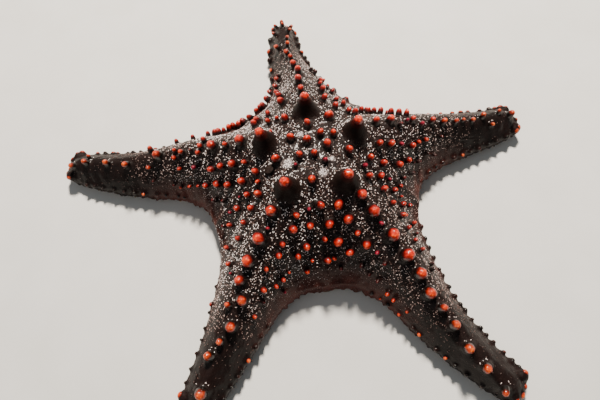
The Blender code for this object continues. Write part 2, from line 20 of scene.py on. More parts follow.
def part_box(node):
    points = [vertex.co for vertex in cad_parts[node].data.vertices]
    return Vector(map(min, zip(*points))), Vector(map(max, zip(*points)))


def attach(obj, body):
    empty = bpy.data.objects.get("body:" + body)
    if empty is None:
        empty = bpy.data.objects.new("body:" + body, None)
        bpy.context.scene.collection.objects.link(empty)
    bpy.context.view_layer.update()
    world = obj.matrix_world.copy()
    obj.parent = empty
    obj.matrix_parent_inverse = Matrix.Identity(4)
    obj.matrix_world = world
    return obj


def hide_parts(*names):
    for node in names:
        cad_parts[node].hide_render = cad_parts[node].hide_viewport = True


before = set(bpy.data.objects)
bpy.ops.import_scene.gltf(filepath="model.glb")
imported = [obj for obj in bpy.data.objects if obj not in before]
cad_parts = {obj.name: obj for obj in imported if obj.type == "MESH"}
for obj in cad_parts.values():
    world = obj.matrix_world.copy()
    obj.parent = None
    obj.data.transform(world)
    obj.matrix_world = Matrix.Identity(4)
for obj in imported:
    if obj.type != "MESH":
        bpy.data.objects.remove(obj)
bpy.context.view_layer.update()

STAR_CENTRE = sum(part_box("mouth"), Vector()) / 2

# Plan of the star, as the solids have it
ARM_NAMES = ("north", "west", "southwest", "southeast", "east")
ARMS = range(len(ARM_NAMES))
ARM_LENGTHS = (0.104, 0.124, 0.112, 0.125, 0.109)
ARM_SLIMNESS = (0.20, 0.0, 0.0, 0.09, 0.0)
FIRST_HEADING = 91.0
ARM_SPREAD = 72.0
TURN_PART_WAY = (13.0, 16.0, 9.0, -10.0, -13.0)
TURN_AT_TIP = (-12.0, -5.0, 1.0, 12.5, -2.0)
TURN_REACHED_AT = 0.070
NOTCH_RADIUS = 0.0503

# Heights and widths of the body
CENTRE_HEIGHT = 0.044
NOTCH_EDGE = 0.010
SADDLE_POWER = 2.2
EDGE_HEIGHTS = ((0.0, NOTCH_EDGE), (0.15, 0.0085), (0.80, 0.0072), (1.0, 0.0048))
DISC_RIDGE = ((0.0, 0.0440), (0.020, 0.0420), (0.0407, 0.0345))
ARM_RIDGE = ((0.18, 0.0288), (0.38, 0.0236), (0.58, 0.0194), (0.78, 0.0158), (0.92, 0.0125), (1.0, 0.0066))
ARM_WIDTHS = ((0.0, 0.0188), (0.30, 0.0142), (0.60, 0.0110), (0.85, 0.0087), (1.0, 0.0073))
SLIM_BY = 0.50
FLARE_LENGTH = 0.0075
RIDGE_ASIDE_AT_TIP = (0.0, 0.0, 0.0, -0.0060, 0.0)
RIDGE_ASIDE_POWER = 3
RIDGE_ASIDE_MOST = 0.45
TIP_ROUND = 0.0075
TIP_BLUNT = 0.25
ROUNDER_OVER = 0.015
SIDE_BULGE = 0.0008
SIDE_TUCK = 0.0012
LOWER_EDGE_RISE = 0.0018
FLAT_SHARE = 0.80

# Underside
GROOVE_HALF = 0.0036
GROOVE_HALF_TIP = 0.0014
GROOVE_DEPTH = 0.0052
GROOVE_DEPTH_TIP = 0.0026
GROOVE_WIDEST = 0.5
MOUTH_RADIUS = 0.0068
MOUTH_DEPTH = 0.0085

# Tubercles: the five great ones, and the others arm by arm as (s, v, radius of the crown) in millimetres
MM = 0.001
GREAT_AT = 0.0203
GREAT_RADIUS = 0.0066
GREAT_HEIGHT = 0.0095
CENTRE_KNOBS = (
    ((11.2, 0.2, 1.6), (2.6, 1.5, 1.7), (17.1, 9.0, 1.7), (14.8, -9.3, 2.0)),
    ((9.0, -2.5, 1.6), (12.9, 7.2, 1.8)),
    ((5.6, -2.2, 1.5), (12.1, 7.1, 1.8)),
    ((3.2, -1.7, 1.5),),
    ((5.8, 4.2, 1.5), (10.8, 1.6, 1.4), (6.1, -2.0, 1.8), (13.3, -7.0, 1.7)))
RIDGE_KNOBS = (
    ((32.7, 0.6, 1.7), (41.1, 0.9, 2.0), (50.4, 0.0, 1.8), (57.0, 0.8, 1.8), (64.3, 0.5, 1.4),
     (69.3, 0.9, 1.6), (77.2, -0.8, 1.3), (78.8, 3.3, 1.4), (83.5, -1.4, 1.1), (93.0, -2.8, 1.1),
     (92.0, 3.8, 1.1), (97.0, 0.0, 1.0), (98.6, 3.2, 1.1), (98.4, -3.4, 1.1), (100.6, 0.6, 1.2)),
    ((30.6, -0.2, 2.4), (37.4, 1.1, 1.3), (43.9, 1.0, 2.2), (50.2, 0.6, 1.3), (49.5, -2.4, 1.3),
     (59.8, 1.6, 1.3), (63.2, 0.4, 1.1), (72.0, 0.6, 2.1), (76.6, -3.4, 1.4), (88.2, 2.1, 1.6),
     (98.6, 1.0, 1.5), (110.4, 0.8, 1.5), (110.0, -1.8, 1.0), (117.5, 2.3, 1.5)),
    ((30.8, -0.8, 2.5), (42.0, -0.5, 2.7), (51.1, -0.9, 2.6), (59.0, -1.0, 2.2), (65.6, 1.8, 2.2),
     (69.1, -1.9, 1.4), (76.5, 1.3, 2.2), (83.3, -0.1, 1.5), (89.8, -1.6, 1.9), (103.3, 1.0, 2.4)),
    ((28.2, 0.5, 2.3), (35.7, 0.0, 2.6), (47.2, 0.0, 2.7), (56.6, -0.1, 2.8), (65.1, -0.1, 2.5),
     (73.2, -1.0, 2.5), (80.5, -0.5, 1.7), (88.1, -1.1, 2.0), (97.7, -2.8, 2.1), (107.0, -3.6, 2.0),
     (117.0, -4.8, 1.6)),
    ((31.0, 1.6, 1.7), (38.0, 1.0, 1.9), (49.2, 0.1, 1.4), (59.2, -0.8, 1.5), (65.2, -1.3, 1.5),
     (71.7, -1.3, 1.3), (75.8, -0.9, 1.0), (80.7, -1.2, 1.2), (87.0, 0.1, 1.4), (90.6, -3.6, 1.1),
     (97.0, 0.9, 1.1), (102.5, -0.9, 1.6)))
SIDE_KNOBS = (
    ((18.9, 12.9, 1.0), (25.8, 16.7, 1.3), (30.8, 9.4, 1.7), (37.2, 10.0, 1.4), (41.0, 11.0, 1.3),
     (52.0, 10.6, 1.3), (57.5, 8.9, 1.3), (44.8, 23.0, 1.4), (47.3, 20.6, 1.4), (46.8, 18.8, 1.6),
     (51.5, 16.0, 1.5), (55.5, 13.6, 1.4), (24.0, -13.3, 1.5), (28.8, -8.5, 1.5), (28.5, -18.0, 1.3),
     (32.3, -14.7, 1.2), (36.2, -8.5, 1.6), (41.5, -8.2, 1.1), (42.0, -14.1, 1.3), (47.0, -9.1, 1.2),
     (50.5, -11.2, 1.0)),
    ((18.4, -5.0, 0.9), (21.6, -13.4, 1.2), (28.8, -13.4, 1.6), (28.3, -17.2, 1.4), (34.3, -24.1, 1.4),
     (39.0, -26.0, 1.6), (41.3, -24.2, 1.8), (44.3, -24.1, 1.6), (45.8, -22.6, 1.6), (47.8, -21.0, 1.2),
     (49.8, -19.4, 1.6), (49.8, -14.6, 1.5), (20.8, 12.0, 1.6), (27.1, 7.8, 1.2), (32.6, 8.0, 1.8),
     (38.4, 8.4, 1.5), (43.4, 8.8, 1.6), (51.0, 3.0, 1.2), (61.4, 6.9, 1.0), (63.6, 3.1, 1.1),
     (26.5, 15.0, 1.8), (33.8, 14.9, 1.7), (39.8, 13.9, 1.6), (47.6, 13.2, 1.2), (52.3, 13.1, 0.8),
     (57.2, 12.6, 0.9), (62.7, 12.1, 0.8), (77.0, 4.2, 1.1), (52.0, -12.4, 1.1), (58.5, -10.8, 1.0),
     (66.0, -9.6, 1.0)),
    ((21.1, -13.4, 1.1), (26.5, -15.7, 1.4), (25.7, -9.8, 1.7), (32.0, -18.2, 1.4), (31.7, -10.1, 1.4),
     (38.5, -19.0, 1.2), (37.7, -10.5, 1.2), (43.7, -9.8, 1.2), (47.2, -15.2, 1.2), (54.1, -9.1, 1.1),
     (27.1, 7.5, 1.4), (32.0, 8.4, 1.9), (26.6, 13.8, 1.6), (39.0, 7.4, 1.3), (33.4, 15.4, 1.7),
     (43.0, 7.7, 1.4), (38.5, 13.8, 1.4), (35.9, 19.7, 0.9), (50.6, 5.7, 1.1), (45.5, 13.2, 0.7),
     (40.2, 19.1, 1.2), (49.8, 12.1, 1.1), (53.8, 10.8, 1.1), (57.9, 7.3, 1.4), (69.1, 7.4, 1.0)),
    ((24.5, -7.7, 2.0), (19.1, -13.8, 1.7), (26.0, -14.9, 1.9), (30.8, -8.1, 2.1), (32.7, -15.7, 2.0),
     (36.9, -8.6, 1.3), (42.1, -8.5, 1.9), (38.8, -14.4, 1.7), (62.3, -11.9, 1.0), (66.1, -11.3, 0.9),
     (73.2, -9.8, 0.7), (28.3, -20.4, 1.2), (33.7, -24.2, 1.6), (35.3, -20.7, 1.0), (23.6, 9.3, 1.5),
     (25.2, 15.0, 1.5), (30.5, 11.2, 1.6), (32.2, 17.0, 1.3), (32.0, 22.2, 0.9), (35.4, 19.5, 0.7),
     (37.0, 10.3, 1.2), (38.5, 16.1, 1.3), (39.5, 21.3, 0.9), (42.5, 10.6, 1.4), (42.7, 14.0, 0.8),
     (46.5, 15.5, 1.1), (48.1, 8.6, 1.1), (53.5, 7.2, 0.9), (57.6, 7.3, 1.0)),
    ((20.8, -11.8, 1.5), (27.9, -6.9, 1.5), (33.3, -7.7, 1.6), (44.5, -8.8, 1.5), (48.9, -7.9, 1.1),
     (53.4, -7.4, 1.1), (25.8, -14.5, 1.6), (34.1, -15.0, 1.7), (40.2, -13.7, 1.3), (24.5, 14.8, 1.3),
     (27.3, 12.9, 1.4), (32.5, 16.4, 1.4), (35.5, 14.5, 1.4), (38.2, 13.7, 1.4), (40.7, 12.4, 1.5),
     (44.2, 9.0, 1.5), (46.5, 6.3, 1.4), (49.0, 4.3, 1.4), (38.0, 21.0, 1.1), (46.0, 14.5, 1.1),
     (54.0, 11.2, 1.0)))
CRIMSON_KNOBS = (
    (),
    ((53.4, 7.5, 1.1),),
    ((10.3, -1.4, 0.8), (28.2, -19.7, 0.6), (34.0, -22.0, 0.8), (57.5, -6.6, 0.6), (37.2, 0.6, 0.8),
     (22.1, 10.9, 0.9), (53.3, 14.4, 0.7)),
    ((8.6, -0.2, 1.1), (47.8, -7.4, 1.0), (41.2, -0.6, 1.0), (19.1, 11.6, 1.2), (28.0, 18.6, 0.8)),
    ((46.5, 0.0, 0.9), (53.3, -1.9, 1.1), (38.6, -8.4, 1.1)))
DULL_KNOBS = (
    ((61.0, 8.0, 0.8), (44.5, -12.2, 0.9), (54.3, -8.3, 1.0), (55.5, -6.6, 0.9)),
    ((55.2, 1.5, 0.9), (66.5, 11.0, 0.8), (76.2, 8.5, 0.8), (35.9, 20.5, 0.9), (41.0, 19.0, 1.2)),
    ((38.9, -22.9, 1.1), (62.0, 8.7, 0.9)),
    ((46.1, -13.6, 1.2), (53.1, -7.6, 1.1), (51.0, -13.5, 0.9), (55.5, -12.5, 0.9), (39.5, -20.5, 1.0),
     (51.1, 11.5, 0.8), (64.0, 8.0, 0.8), (66.0, 6.5, 0.8)),
    ((41.8, -1.5, 1.1), (63.0, -6.5, 0.8), (43.8, -14.0, 0.8), (47.3, -13.6, 1.1), (54.0, -11.6, 0.8),
     (58.0, -11.9, 0.8), (34.6, -20.4, 0.9), (41.0, -18.0, 0.9)))
KNOB_GROUPS = (("row", "red", CENTRE_KNOBS), ("ridge", "red", RIDGE_KNOBS), ("row", "red", SIDE_KNOBS),
               ("row", "crimson", CRIMSON_KNOBS), ("row", "dull", DULL_KNOBS))

# Forms of the knobs: their foot's width, height by radius, lean, and how their colours vary
FOOT_WIDER = 1.13
KNOB_TALLNESS = ((0.0011, 2.3), (0.0030, 1.5))
UPRIGHT = 0.12
LEAN = 0.08
GREAT_LEAN = -0.06
KNOB_LONGER = 1.20
LARGE_KNOB_LONGER = 1.08
NARROWER_POWER = 0.4
CRIMSON_UP_TO = 0.2
ORANGE_OUTWARDS = 0.50
ORANGE_BY = 0.75
HUE_DRIFT = 0.08
LEAST_REDNESS = 0.88
SEED = 41
OWN_SEEDS = {"knobs": 20, "papulae": 40, "teeth": 80, "granules": 100, "groove_spines": 110, "tube_feet": 120}
UP = np.array((0.0, 0.0, 1.0))

# Profiles of the turned forms, as (radius, height) shares from the foot to the top
STALK_PROFILE = ((1.22, -0.45), (1.25, -0.20), (1.06, 0.00), (0.84, 0.16), (0.66, 0.28), (0.34, 0.36),
                 (0.0, 0.38))
EDGE_STALK_PROFILE = ((1.30, -0.60), (1.30, -0.25), (1.12, 0.05), (0.92, 0.30), (0.74, 0.55), (0.50, 0.76),
                      (0.22, 0.86), (0.0, 0.88))
EDGE_PROFILE = ((0.58, 0.30), (0.66, 0.48), (0.62, 0.66), (0.50, 0.82), (0.32, 0.93), (0.14, 0.99),
                (0.0, 1.0))
GREAT_STALK_PROFILE = ((1.10, -0.42), (1.06, -0.18), (0.88, -0.02), (0.73, 0.12), (0.61, 0.27),
                       (0.51, 0.44), (0.42, 0.60), (0.34, 0.74), (0.23, 0.83), (0.0, 0.85))
KNOB_PROFILE = ((0.92, -0.20), (0.97, -0.06), (0.95, 0.10), (0.91, 0.34), (0.84, 0.56), (0.73, 0.74),
                (0.56, 0.88), (0.33, 0.97), (0.14, 0.995), (0.0, 1.0))
GREAT_PROFILE = ((0.31, 0.60), (0.325, 0.70), (0.315, 0.79), (0.285, 0.87), (0.225, 0.94), (0.14, 0.985),
                 (0.06, 0.998), (0.0, 1.0))
TOOTH_PROFILE = ((1.0, -0.6), (0.9, 0.1), (0.6, 0.6), (0.3, 0.92), (0.0, 1.0))
TOOTH_SIDES = 10

# Stalks and crowns by kind of knob, as the number of sides and the profile
STALKS = {"great": (32, GREAT_STALK_PROFILE), "edge": (14, EDGE_STALK_PROFILE), "other": (16, STALK_PROFILE)}
CROWNS = {"great": (20, GREAT_PROFILE), "ridge": (20, KNOB_PROFILE), "row": (12, KNOB_PROFILE),
          "edge": (9, EDGE_PROFILE)}

# Lumps of the crowns: their number, how far they swell, and from what share of the height
LUMPS = {"great": (18, 0.13, 0.72), "ridge": (30, 0.06, 0.30), "row": (16, 0.05, 0.45)}
LUMP_DRIFT = 0.22
LUMP_REACH = 1.4
LUMP_SIZES = (0.4, 1.0)
LUMP_FADE = 0.15
# Painted shade: how much darker the creases between the lumps are coloured.
CREASE_SHADE_PAINTED = 0.24

# Colours of the crowns: up to what share of the height they are dark, and the hue and strength of each tint
DARK_TO = {"great": 0.62, "ridge": 0.34, "row": 0.20, "edge": 0.30}
TINTS = {"red": (0.42, 1.0), "crimson": (0.06, 0.95), "dull": (0.36, 0.42)}

# Edges of the arms: rows of small knobs as side, first s, last s, pitch and radius, in millimetres,
# and the share of them that is coloured
EDGE_ROWS = (
    ((1, 61.0, 93.0, 6.2, 1.95, 0.35), (-1, 45.0, 95.0, 5.4, 1.75, 0.30)),
    ((-1, 58.0, 114.0, 4.2, 1.35, 0.45), (1, 62.0, 116.0, 5.0, 1.15, 0.15)),
    ((-1, 62.0, 106.0, 6.0, 1.10, 0.10), (1, 70.0, 107.0, 4.6, 1.35, 0.08)),
    ((-1, 56.0, 120.0, 5.5, 1.20, 0.30), (1, 48.0, 119.0, 4.4, 1.35, 0.12)),
    ((-1, 50.0, 104.0, 5.0, 1.20, 0.12), (1, 58.0, 104.0, 5.0, 1.35, 0.60)))
EDGE_KNOB_DRIFT = 0.25
EDGE_KNOB_TALL = 0.95
EDGE_KNOB_LIFT = 1.0
TOOTH_PITCH = 0.0030
TOOTH_HEIGHT = 0.0036
TOOTH_SIZE = (0.0014, 0.0012, 0.0015)
TIP_CLEAR = 0.0030
TIP_KNOBS = 6
TIP_KNOB_RADIUS = 0.0019
TIP_FAN = 80.0
TIP_KNOBS_INSET = 0.0042
TIP_KNOBS_REACH = 0.0030
TIP_KNOBS_HEIGHT = 0.0062
TIP_KNOBS_UNEVEN = 0.0016
TIP_KNOBS_ASIDE = 0.82
TIP_KNOB_LIFT = 0.7
TIP_FAN_DRIFT = 8.0
TIP_SIZE_DRIFT = 0.25
EDGE_SIZE_DRIFT = 0.28
COLOURED = (0.7, 1.0)
UNCOLOURED = (0.0, 0.32)
TOOTH_DRIFT = 0.30
TOOTH_HEIGHTS = (0.8, 1.2)
TOOTH_SIZES = (0.5, 1.2)
TOOTH_SMALLER_OUTWARDS = 0.3
TOOTH_LIFT = 0.05

# Skin: its first net, the mesh that melts its parts together, and the share of faces kept
SKIN_ACROSS = 40
SKIN_ROW = 0.0016
SEAM_LAP = 0.0006
VOXEL = 0.00068
SKIN_SMOOTHING = 2
SKIN_KEPT = 0.68
COAT_DEPTH = 0.00015
NODE_GAP = 0.0003
MERGE = 0.000001
POINTED = 0.001
BEND_LEVEL = 0.4

# Relief of the skin: depth and sharpness of the furrows between plates and between ribs; depth, level and
# width of the walls' middle furrow; the ribs' waver and its turns; height and scale of the swells. The
# other pairs are where a form begins or ends, and over how far it grows to its full strength
PLATE_PITCH = 0.0033
PLATE_FURROWS = (0.00042, 7)
MIDDLE_FURROW = (0.00025, 0.55, 0.0006)
WALL_ALONG = (-0.02, 0.08)
WALL_ACROSS = (0.86, 0.10)
WALL_TOP = 1.25
RIB_PITCH = 0.0047
RIB_FURROWS = (0.00022, 5)
RIB_WAVE = (0.0009, 900)
FLANK_ALONG = (0.0, 0.15)
FLANK_BEFORE_TIP = (1.0, 0.2)
FLANK_ACROSS = (0.18, 0.2)
FLANK_UP = (0.004, 0.003)
SWELLS = (0.00030, 210)
FINE_SWELLS = (0.00012, 620)
SMOOTHER_CONES = 0.7
RELIEF_OVER = 0.003
GROOVE_LIP = 1.12
GROOVE_WALL = 0.55
GROOVE_END = (0.0012, 0.002)
MOUTH_LIP = 1.08
MOUTH_WALL = 0.30
FACING_DOWN = 0.3
UNDERSIDE_TOP = 0.002
TAN_UP_TO = (0.0026, 0.0012)

# Markings of the skin: cones, brown rims, and where the flecks are less pale. A pair is where a marking
# begins or ends and over how far it grows, or with LIT in its name, how strong it is and over how far
CONE_RIM = (1.00, 0.34)
FLUSH_UP = (0.46, 0.34)
# Painted light: places that lie towards +Y count as facing the light.
NORTH_LIT = (0.5, 0.06)
DISC_RIM = (0.040, 0.014)
ARM_RIM = (0.55, 0.45)
# Painted light and shade: brown rims with dimmer flecks fade on sides facing the light, stay on sides turned
# away.
RIM_LIT = (0.70, 0.45)
DISC_DUSK = (0.012, 0.030)
DISC_DUSK_SHARE = 0.30
RIM_DUSK_SHARE = 0.40
ARM_DUSK = (0.10, 0.70)
ARM_DUSK_SHARE = 0.80
BROWN_END = (0.25, 0.35)

# Sieve plate, with the depth, number and waver of its furrows
MADREPORITE_ARM = 1
MADREPORITE_AT = 0.0194
MADREPORITE_RADIUS = 0.0024
MADREPORITE_RISE = 0.0009
PLATE_PROFILE = ((0.96, -0.6), (0.98, 0.0), (0.94, 0.45), (0.84, 0.72), (0.62, 0.90), (0.36, 0.98),
                 (0.12, 1.0), (0.0, 1.0))
PLATE_SIDES = 72
PLATE_FURROW_COUNT = 9
PLATE_FORKS_AT = 0.55
PLATE_FURROW_DEPTH = 0.16
PLATE_FURROW_FROM = 0.2
PLATE_WANDER = (1.6, 5, 3, 2)
PLATE_TOP = (0.3, 0.3)

# Papulae, the small soft gills that stand on the skin in pale flecks, and the bare rings round the knobs
PAPULA_PITCH = 0.00084
PAPULA_JITTER = 0.40
PAPULA_WIDTH = 0.00016
PAPULA_LENGTHS = (0.00020, 0.00056)
PAPULA_HEIGHT = 0.00022
PAPULA_BEND = 0.7
KNOB_BARE_RING = 0.0010
FLECK_SHARES = (0.85, 1.0, 1.0, 0.95, 0.85)
FLECK_TONES = (1.0, 1.0, 1.12, 0.78, 0.95)
FLECK_CHANCE = 0.46
PALE_CHANCE = 0.16
WHITE_CHANCE = 0.6
FLECKS_LOST_OUTWARDS = 0.88
FLECKS_END = (0.32, 0.35)
# Painted light: on sides that face the light the flecks reach further out along the arms.
LIT_FLECKS_REACH = 0.20
WHITE_WIDER = 0.35
BROWN_SMALLER = 0.35
BRIGHT_SHARE = 0.58
BRIGHT_TONES = (0.85, 1.60)
DIM_TONES = (0.15, 0.5)
DARKEST_TONE = 0.06
# Glints: white papulae in a ring on the lit side of the outer ridge knobs, painted highlights of wet skin.
GLINT_CHANCE = 0.20
GLINT_TONE = 0.8
GLINTS_FROM = 0.30
GLINT_RING = 0.0014
GLINT_ROOT = 0.95
GLINT_SIDE = 0.45
BARE_FOOT = 0.95
BARE_CONE = 0.50
# A great cone's bare foot widens on the side facing -Y, away from the light: painted shadow.
BARE_CONE_SHADOW_PAINTED = 0.25
RING_SHARE = 0.5
RING_BY_RADIUS = 0.3
# The bare rings widen on the side facing -Y, away from the light: painted shadow with fewer flecks.
RING_SHADOW_PAINTED = 1.2
WHITE_PATCH_SOFT = 0.6
ROW_POINTS = 90
WALL_POINTS = 8
WALL_FOOT = 0.0028
NEAR_TIP = 0.001
BRICK_SHIFT = 0.25
# The disc's white patches, as arm, s, v and radius in millimetres, and the map of the coat
WHITE_PATCHES = ((2, 10.5, -5.5, 2.9), (3, 11.3, -4.0, 2.5), (3, 9.5, 3.0, 1.6), (0, 7.5, 4.0, 1.9))
PATCH = 0.003
MAP_MARGIN = 0.02

# Granules, spines and tube feet of the underside, and the mouth
GRANULE_PITCH = 0.0015
GRANULE_DEPTH = 0.0005
GRANULES_FROM = 0.002
GRANULES_INSET = 0.0004
GRANULES_PAST_FLAT = 0.12
GRANULE_DRIFT = (0.25, 0.20)
GRANULE_WIDTHS = (0.36, 0.56)
GRANULE_TONES = (0.2, 0.9)
GRANULES_DARKER_OUTWARDS = (0.3, 0.9)
BEFORE_TIP = 0.003
SPINE_PROFILE = ((0.9, -0.15), (1.0, 0.1), (0.95, 0.5), (0.8, 0.85), (0.5, 0.97), (0.0, 1.0))
GROOVE_SPINE_SIDES = 7
GROOVE_SPINE_PITCH = 0.0016
GROOVE_SPINE_ROOM = 0.0030
GROOVE_SPINE_HEIGHT = 0.0008
GROOVE_SPINE_SIZE = (0.00042, 0.00042, 0.0022)
GROOVE_SPINE_ROWS = ((0.0008, 1.0), (0.0022, 0.85))
GROOVE_SPINES_FROM = 0.001
GROOVE_SPINE_STAGGER = 0.0007
GROOVE_SPINE_TURN = 0.3
GROOVE_SPINE_DROP = -0.12
GROOVE_SPINES_SMALLER = 0.35
GROOVE_SPINE_SCALES = (0.9, 1.1)
GROOVE_SPINE_TONES = (0.5, 1.0)
FOOT_PROFILE = ((0.75, -0.10), (0.75, 0.20), (0.62, 0.60), (0.60, 0.84), (1.0, 0.93), (1.05, 0.97),
                (0.80, 1.0), (0.0, 0.985))
FOOT_SIDES = 10
FOOT_PITCH = 0.0024
FOOT_OUT = 0.46
FOOT_RADIUS = 0.00085
FOOT_SINK = 0.0004
FOOT_CLEAR = 0.0003
FEET_FROM = 0.003
FEET_BEFORE_TIP = 0.004
FOOT_LEAN = 0.12
FEET_NARROWER = 0.45
MOUTH_PROFILE = ((1.0, 0.0), (1.0, 0.30), (0.88, 0.50), (0.70, 0.62), (0.50, 0.72), (0.34, 0.90),
                 (0.22, 1.0), (0.14, 0.85), (0.10, 0.40), (0.0, 0.35))
MOUTH_SIDES = 60
JAW_SPINE_SIDES = 8
JAW_SPINES_ASIDE = (-0.42, -0.28, -0.14, 0.0, 0.14, 0.28, 0.42)
JAW_SPINE_HEIGHT = 0.0012
JAW_SPINE_SIZE = (0.0006, 0.0006, 0.0032)
JAW_SPINES_AT = 1.06
JAW_SPINES_MEET = 0.5
JAW_SPINE_DROP = -0.10
JAW_SPINE_TONE = 0.85
PUCKERS = 15
PUCKER_DEPTH = 0.12
PUCKERS_FROM = (0.15, 0.2)
PUCKERS_TO = (0.95, 0.2)
EYESPOT_SIZE = (0.0024, 0.0014, 0.0014)
EYESPOT_SIDES = 20
EYESPOT_RINGS = 12

# Patterns of the materials, in cells a metre: clouds 6 mm across, folds 1.1 mm and grains 0.7 mm on the
# skin, as fine as the picture can show; finer ones on the small hard pieces
SKIN_CLOUDS = 160.0
SKIN_FOLDS = 900.0
SKIN_GRAINS = 1500.0
CROWN_CLOUDS = 800.0
PLATE_CLOUDS = 1200.0
MEMBRANE_CLOUDS = 500.0
EYESPOT_CUPS = 3500.0
FLOOR_CLOUDS = 40.0

# Colours. The skin's are its dark, warm and tan tones; the crowns' run from the foot up to the top
SKIN_TONES = (("#0c0504", "#190b09"), ("#331512", "#522720"), ("#6a5138", "#8a6c4c"))
# Partly painted shade and highlight: darker down the crowns' sides and brightest only at the very top.
CROWN_TONES = (
    ((0.06, "#0d0706"), (0.30, "#3a0610"), (0.70, "#8c0a28"), (1.0, "#b02440")),
    ((0.05, "#0b0504"), (0.24, "#260202"), (0.48, "#760803"), (0.74, "#c42406"), (0.96, "#ff5c0c")),
    ((0.05, "#0b0604"), (0.24, "#280c03"), (0.48, "#7a2006"), (0.74, "#c0440f"), (0.96, "#f4801e")))

# Lights, as name, energy, width, place and colour, and the surround
LIGHTS = (("key", 28.0, 0.12, (0.08, 0.52, 0.82), "#fff4e6"),
          ("fill", 1.5, 1.00, (-0.70, -0.50, 0.80), "#f4f2f0"))
SURROUND_COLOUR = "#dfe6ea"
SURROUND_STRENGTH = 0.22

# Camera, as the photograph was taken
CAMERA_ELEVATION = 64.96
CAMERA_ROLL = -6.05
CAMERA_DISTANCE = 0.2455
CAMERA_TARGET = (-0.00695, -0.00303, 0.0)
CAMERA_LENS = 30.0
CAMERA_SENSOR = 36.0
CAMERA_CLIP = 0.01
FLOOR_SIZE = 6.0

HALF_SPREAD = math.radians(ARM_SPREAD / 2)
SIDE_AT = NOTCH_RADIUS * math.cos(HALF_SPREAD)
HALF_SIDE = NOTCH_RADIUS * math.sin(HALF_SPREAD)
UNROLLED_WIDTH = 2.4 * HALF_SIDE
LIT_POINT = Vector((0.0, 0.0, 0.02))
MADREPORITE_PLACE = (MADREPORITE_AT * math.cos(HALF_SPREAD), MADREPORITE_AT * math.sin(HALF_SPREAD))
MIDLINE_STEP = 0.00025
PROBE = 0.0002


def smooth_between(points, x):
    """Smooth values at x through (x, y) points, with slopes taken from each point's neighbours."""
    xs, ys = np.array(points, float).T
    slopes = np.concatenate((
        [(ys[1] - ys[0]) / (xs[1] - xs[0])],
        (ys[2:] - ys[:-2]) / (xs[2:] - xs[:-2]),
        [(ys[-1] - ys[-2]) / (xs[-1] - xs[-2])]))
    x = np.clip(x, xs[0], xs[-1])
    i = np.clip(np.searchsorted(xs, x, side="right") - 1, 0, len(xs) - 2)
    span = xs[i + 1] - xs[i]
    t = (x - xs[i]) / span
    return (ys[i] + (ys[i + 1] - ys[i]) * t * t * (3 - 2 * t)
            + span * slopes[i] * (t - 2 * t * t + t ** 3)
            + span * slopes[i + 1] * (t ** 3 - t * t))


def between(points, x):
    """Straight-line values at x through (x, y) points."""
    xs, ys = np.array(points, float).T
    return np.interp(x, xs, ys)


def ease(x):
    """0 below 0, 1 above 1, and a smooth step between."""
    t = np.clip(x, 0.0, 1.0)
    return t * t * (3 - 2 * t)


def grow(x, start, over):
    """0 up to start, then a smooth rise to 1 over a length."""
    return ease((x - start) / over)


def fall(x, end, over):
    """1 at first, then a smooth fall over a length, to 0 from the end on."""
    return ease((end - x) / over)


def share(arm, s):
    """How far s is along the free arm, 0 at the disc's side and 1 at the tip."""
    return (s - SIDE_AT) / (ARM_LENGTHS[arm] - SIDE_AT)


def heading(arm, s):
    """Direction of an arm's middle line, in radians."""
    turns = ((SIDE_AT, 0.0), (TURN_REACHED_AT, TURN_PART_WAY[arm]), (ARM_LENGTHS[arm], TURN_AT_TIP[arm]))
    return np.radians(FIRST_HEADING + ARM_SPREAD * arm + between(turns, s))


def middle_line(arm):
    """Distances along an arm's middle line, and the points there."""
    s = np.arange(0.0, ARM_LENGTHS[arm] + 2 * MIDLINE_STEP, MIDLINE_STEP)
    angle = heading(arm, s[:-1] + MIDLINE_STEP / 2)
    x = np.concatenate(([0.0], np.cumsum(np.cos(angle)))) * MIDLINE_STEP + STAR_CENTRE.x
    y = np.concatenate(([0.0], np.cumsum(np.sin(angle)))) * MIDLINE_STEP + STAR_CENTRE.y
    return s, x, y


MIDDLE_LINES = [middle_line(arm) for arm in ARMS]


def place(arm, s, v, z):
    """Points in space of places on the star, as rows of an array."""
    s, v, z = np.broadcast_arrays(np.asarray(s, float), v, z)
    steps, xs, ys = MIDDLE_LINES[arm]
    angle = heading(arm, s)
    x = np.interp(s, steps, xs) - v * np.sin(angle)
    y = np.interp(s, steps, ys) + v * np.cos(angle)
    return np.stack((x, y, z), axis=-1)


def half_width(arm, s):
    """Half the body's width: the wedge inside the disc, the tapering arm with its round end beyond."""
    s = np.asarray(s, float)
    slimmer = ARM_SLIMNESS[arm] * ease(share(arm, s) / SLIM_BY)
    width = smooth_between(ARM_WIDTHS, share(arm, s)) * (1 - slimmer)
    width = width + (HALF_SIDE - ARM_WIDTHS[0][1]) * np.exp(-(s - SIDE_AT) / FLARE_LENGTH)
    into_round = np.clip((s - (ARM_LENGTHS[arm] - TIP_ROUND)) / TIP_ROUND, 0.0, 1.0)
    width = width * (TIP_BLUNT + (1 - TIP_BLUNT) * np.sqrt(1 - into_round ** 2))
    return np.where(s <= SIDE_AT, s * math.tan(HALF_SPREAD), width)


def ridge_height(arm, s):
    """Height of the arm's ridge, where its row of large knobs stands."""
    free = ARM_LENGTHS[arm] - SIDE_AT
    points = DISC_RIDGE + tuple((SIDE_AT + u * free, z) for u, z in ARM_RIDGE)
    return smooth_between(points, s)


def ridge_aside(arm, s):
    """How far to the left of its middle line an arm's ridge leans."""
    aside = RIDGE_ASIDE_AT_TIP[arm] * np.maximum(0.0, share(arm, s)) ** RIDGE_ASIDE_POWER
    most = RIDGE_ASIDE_MOST * half_width(arm, s)
    return np.clip(aside, -most, most)


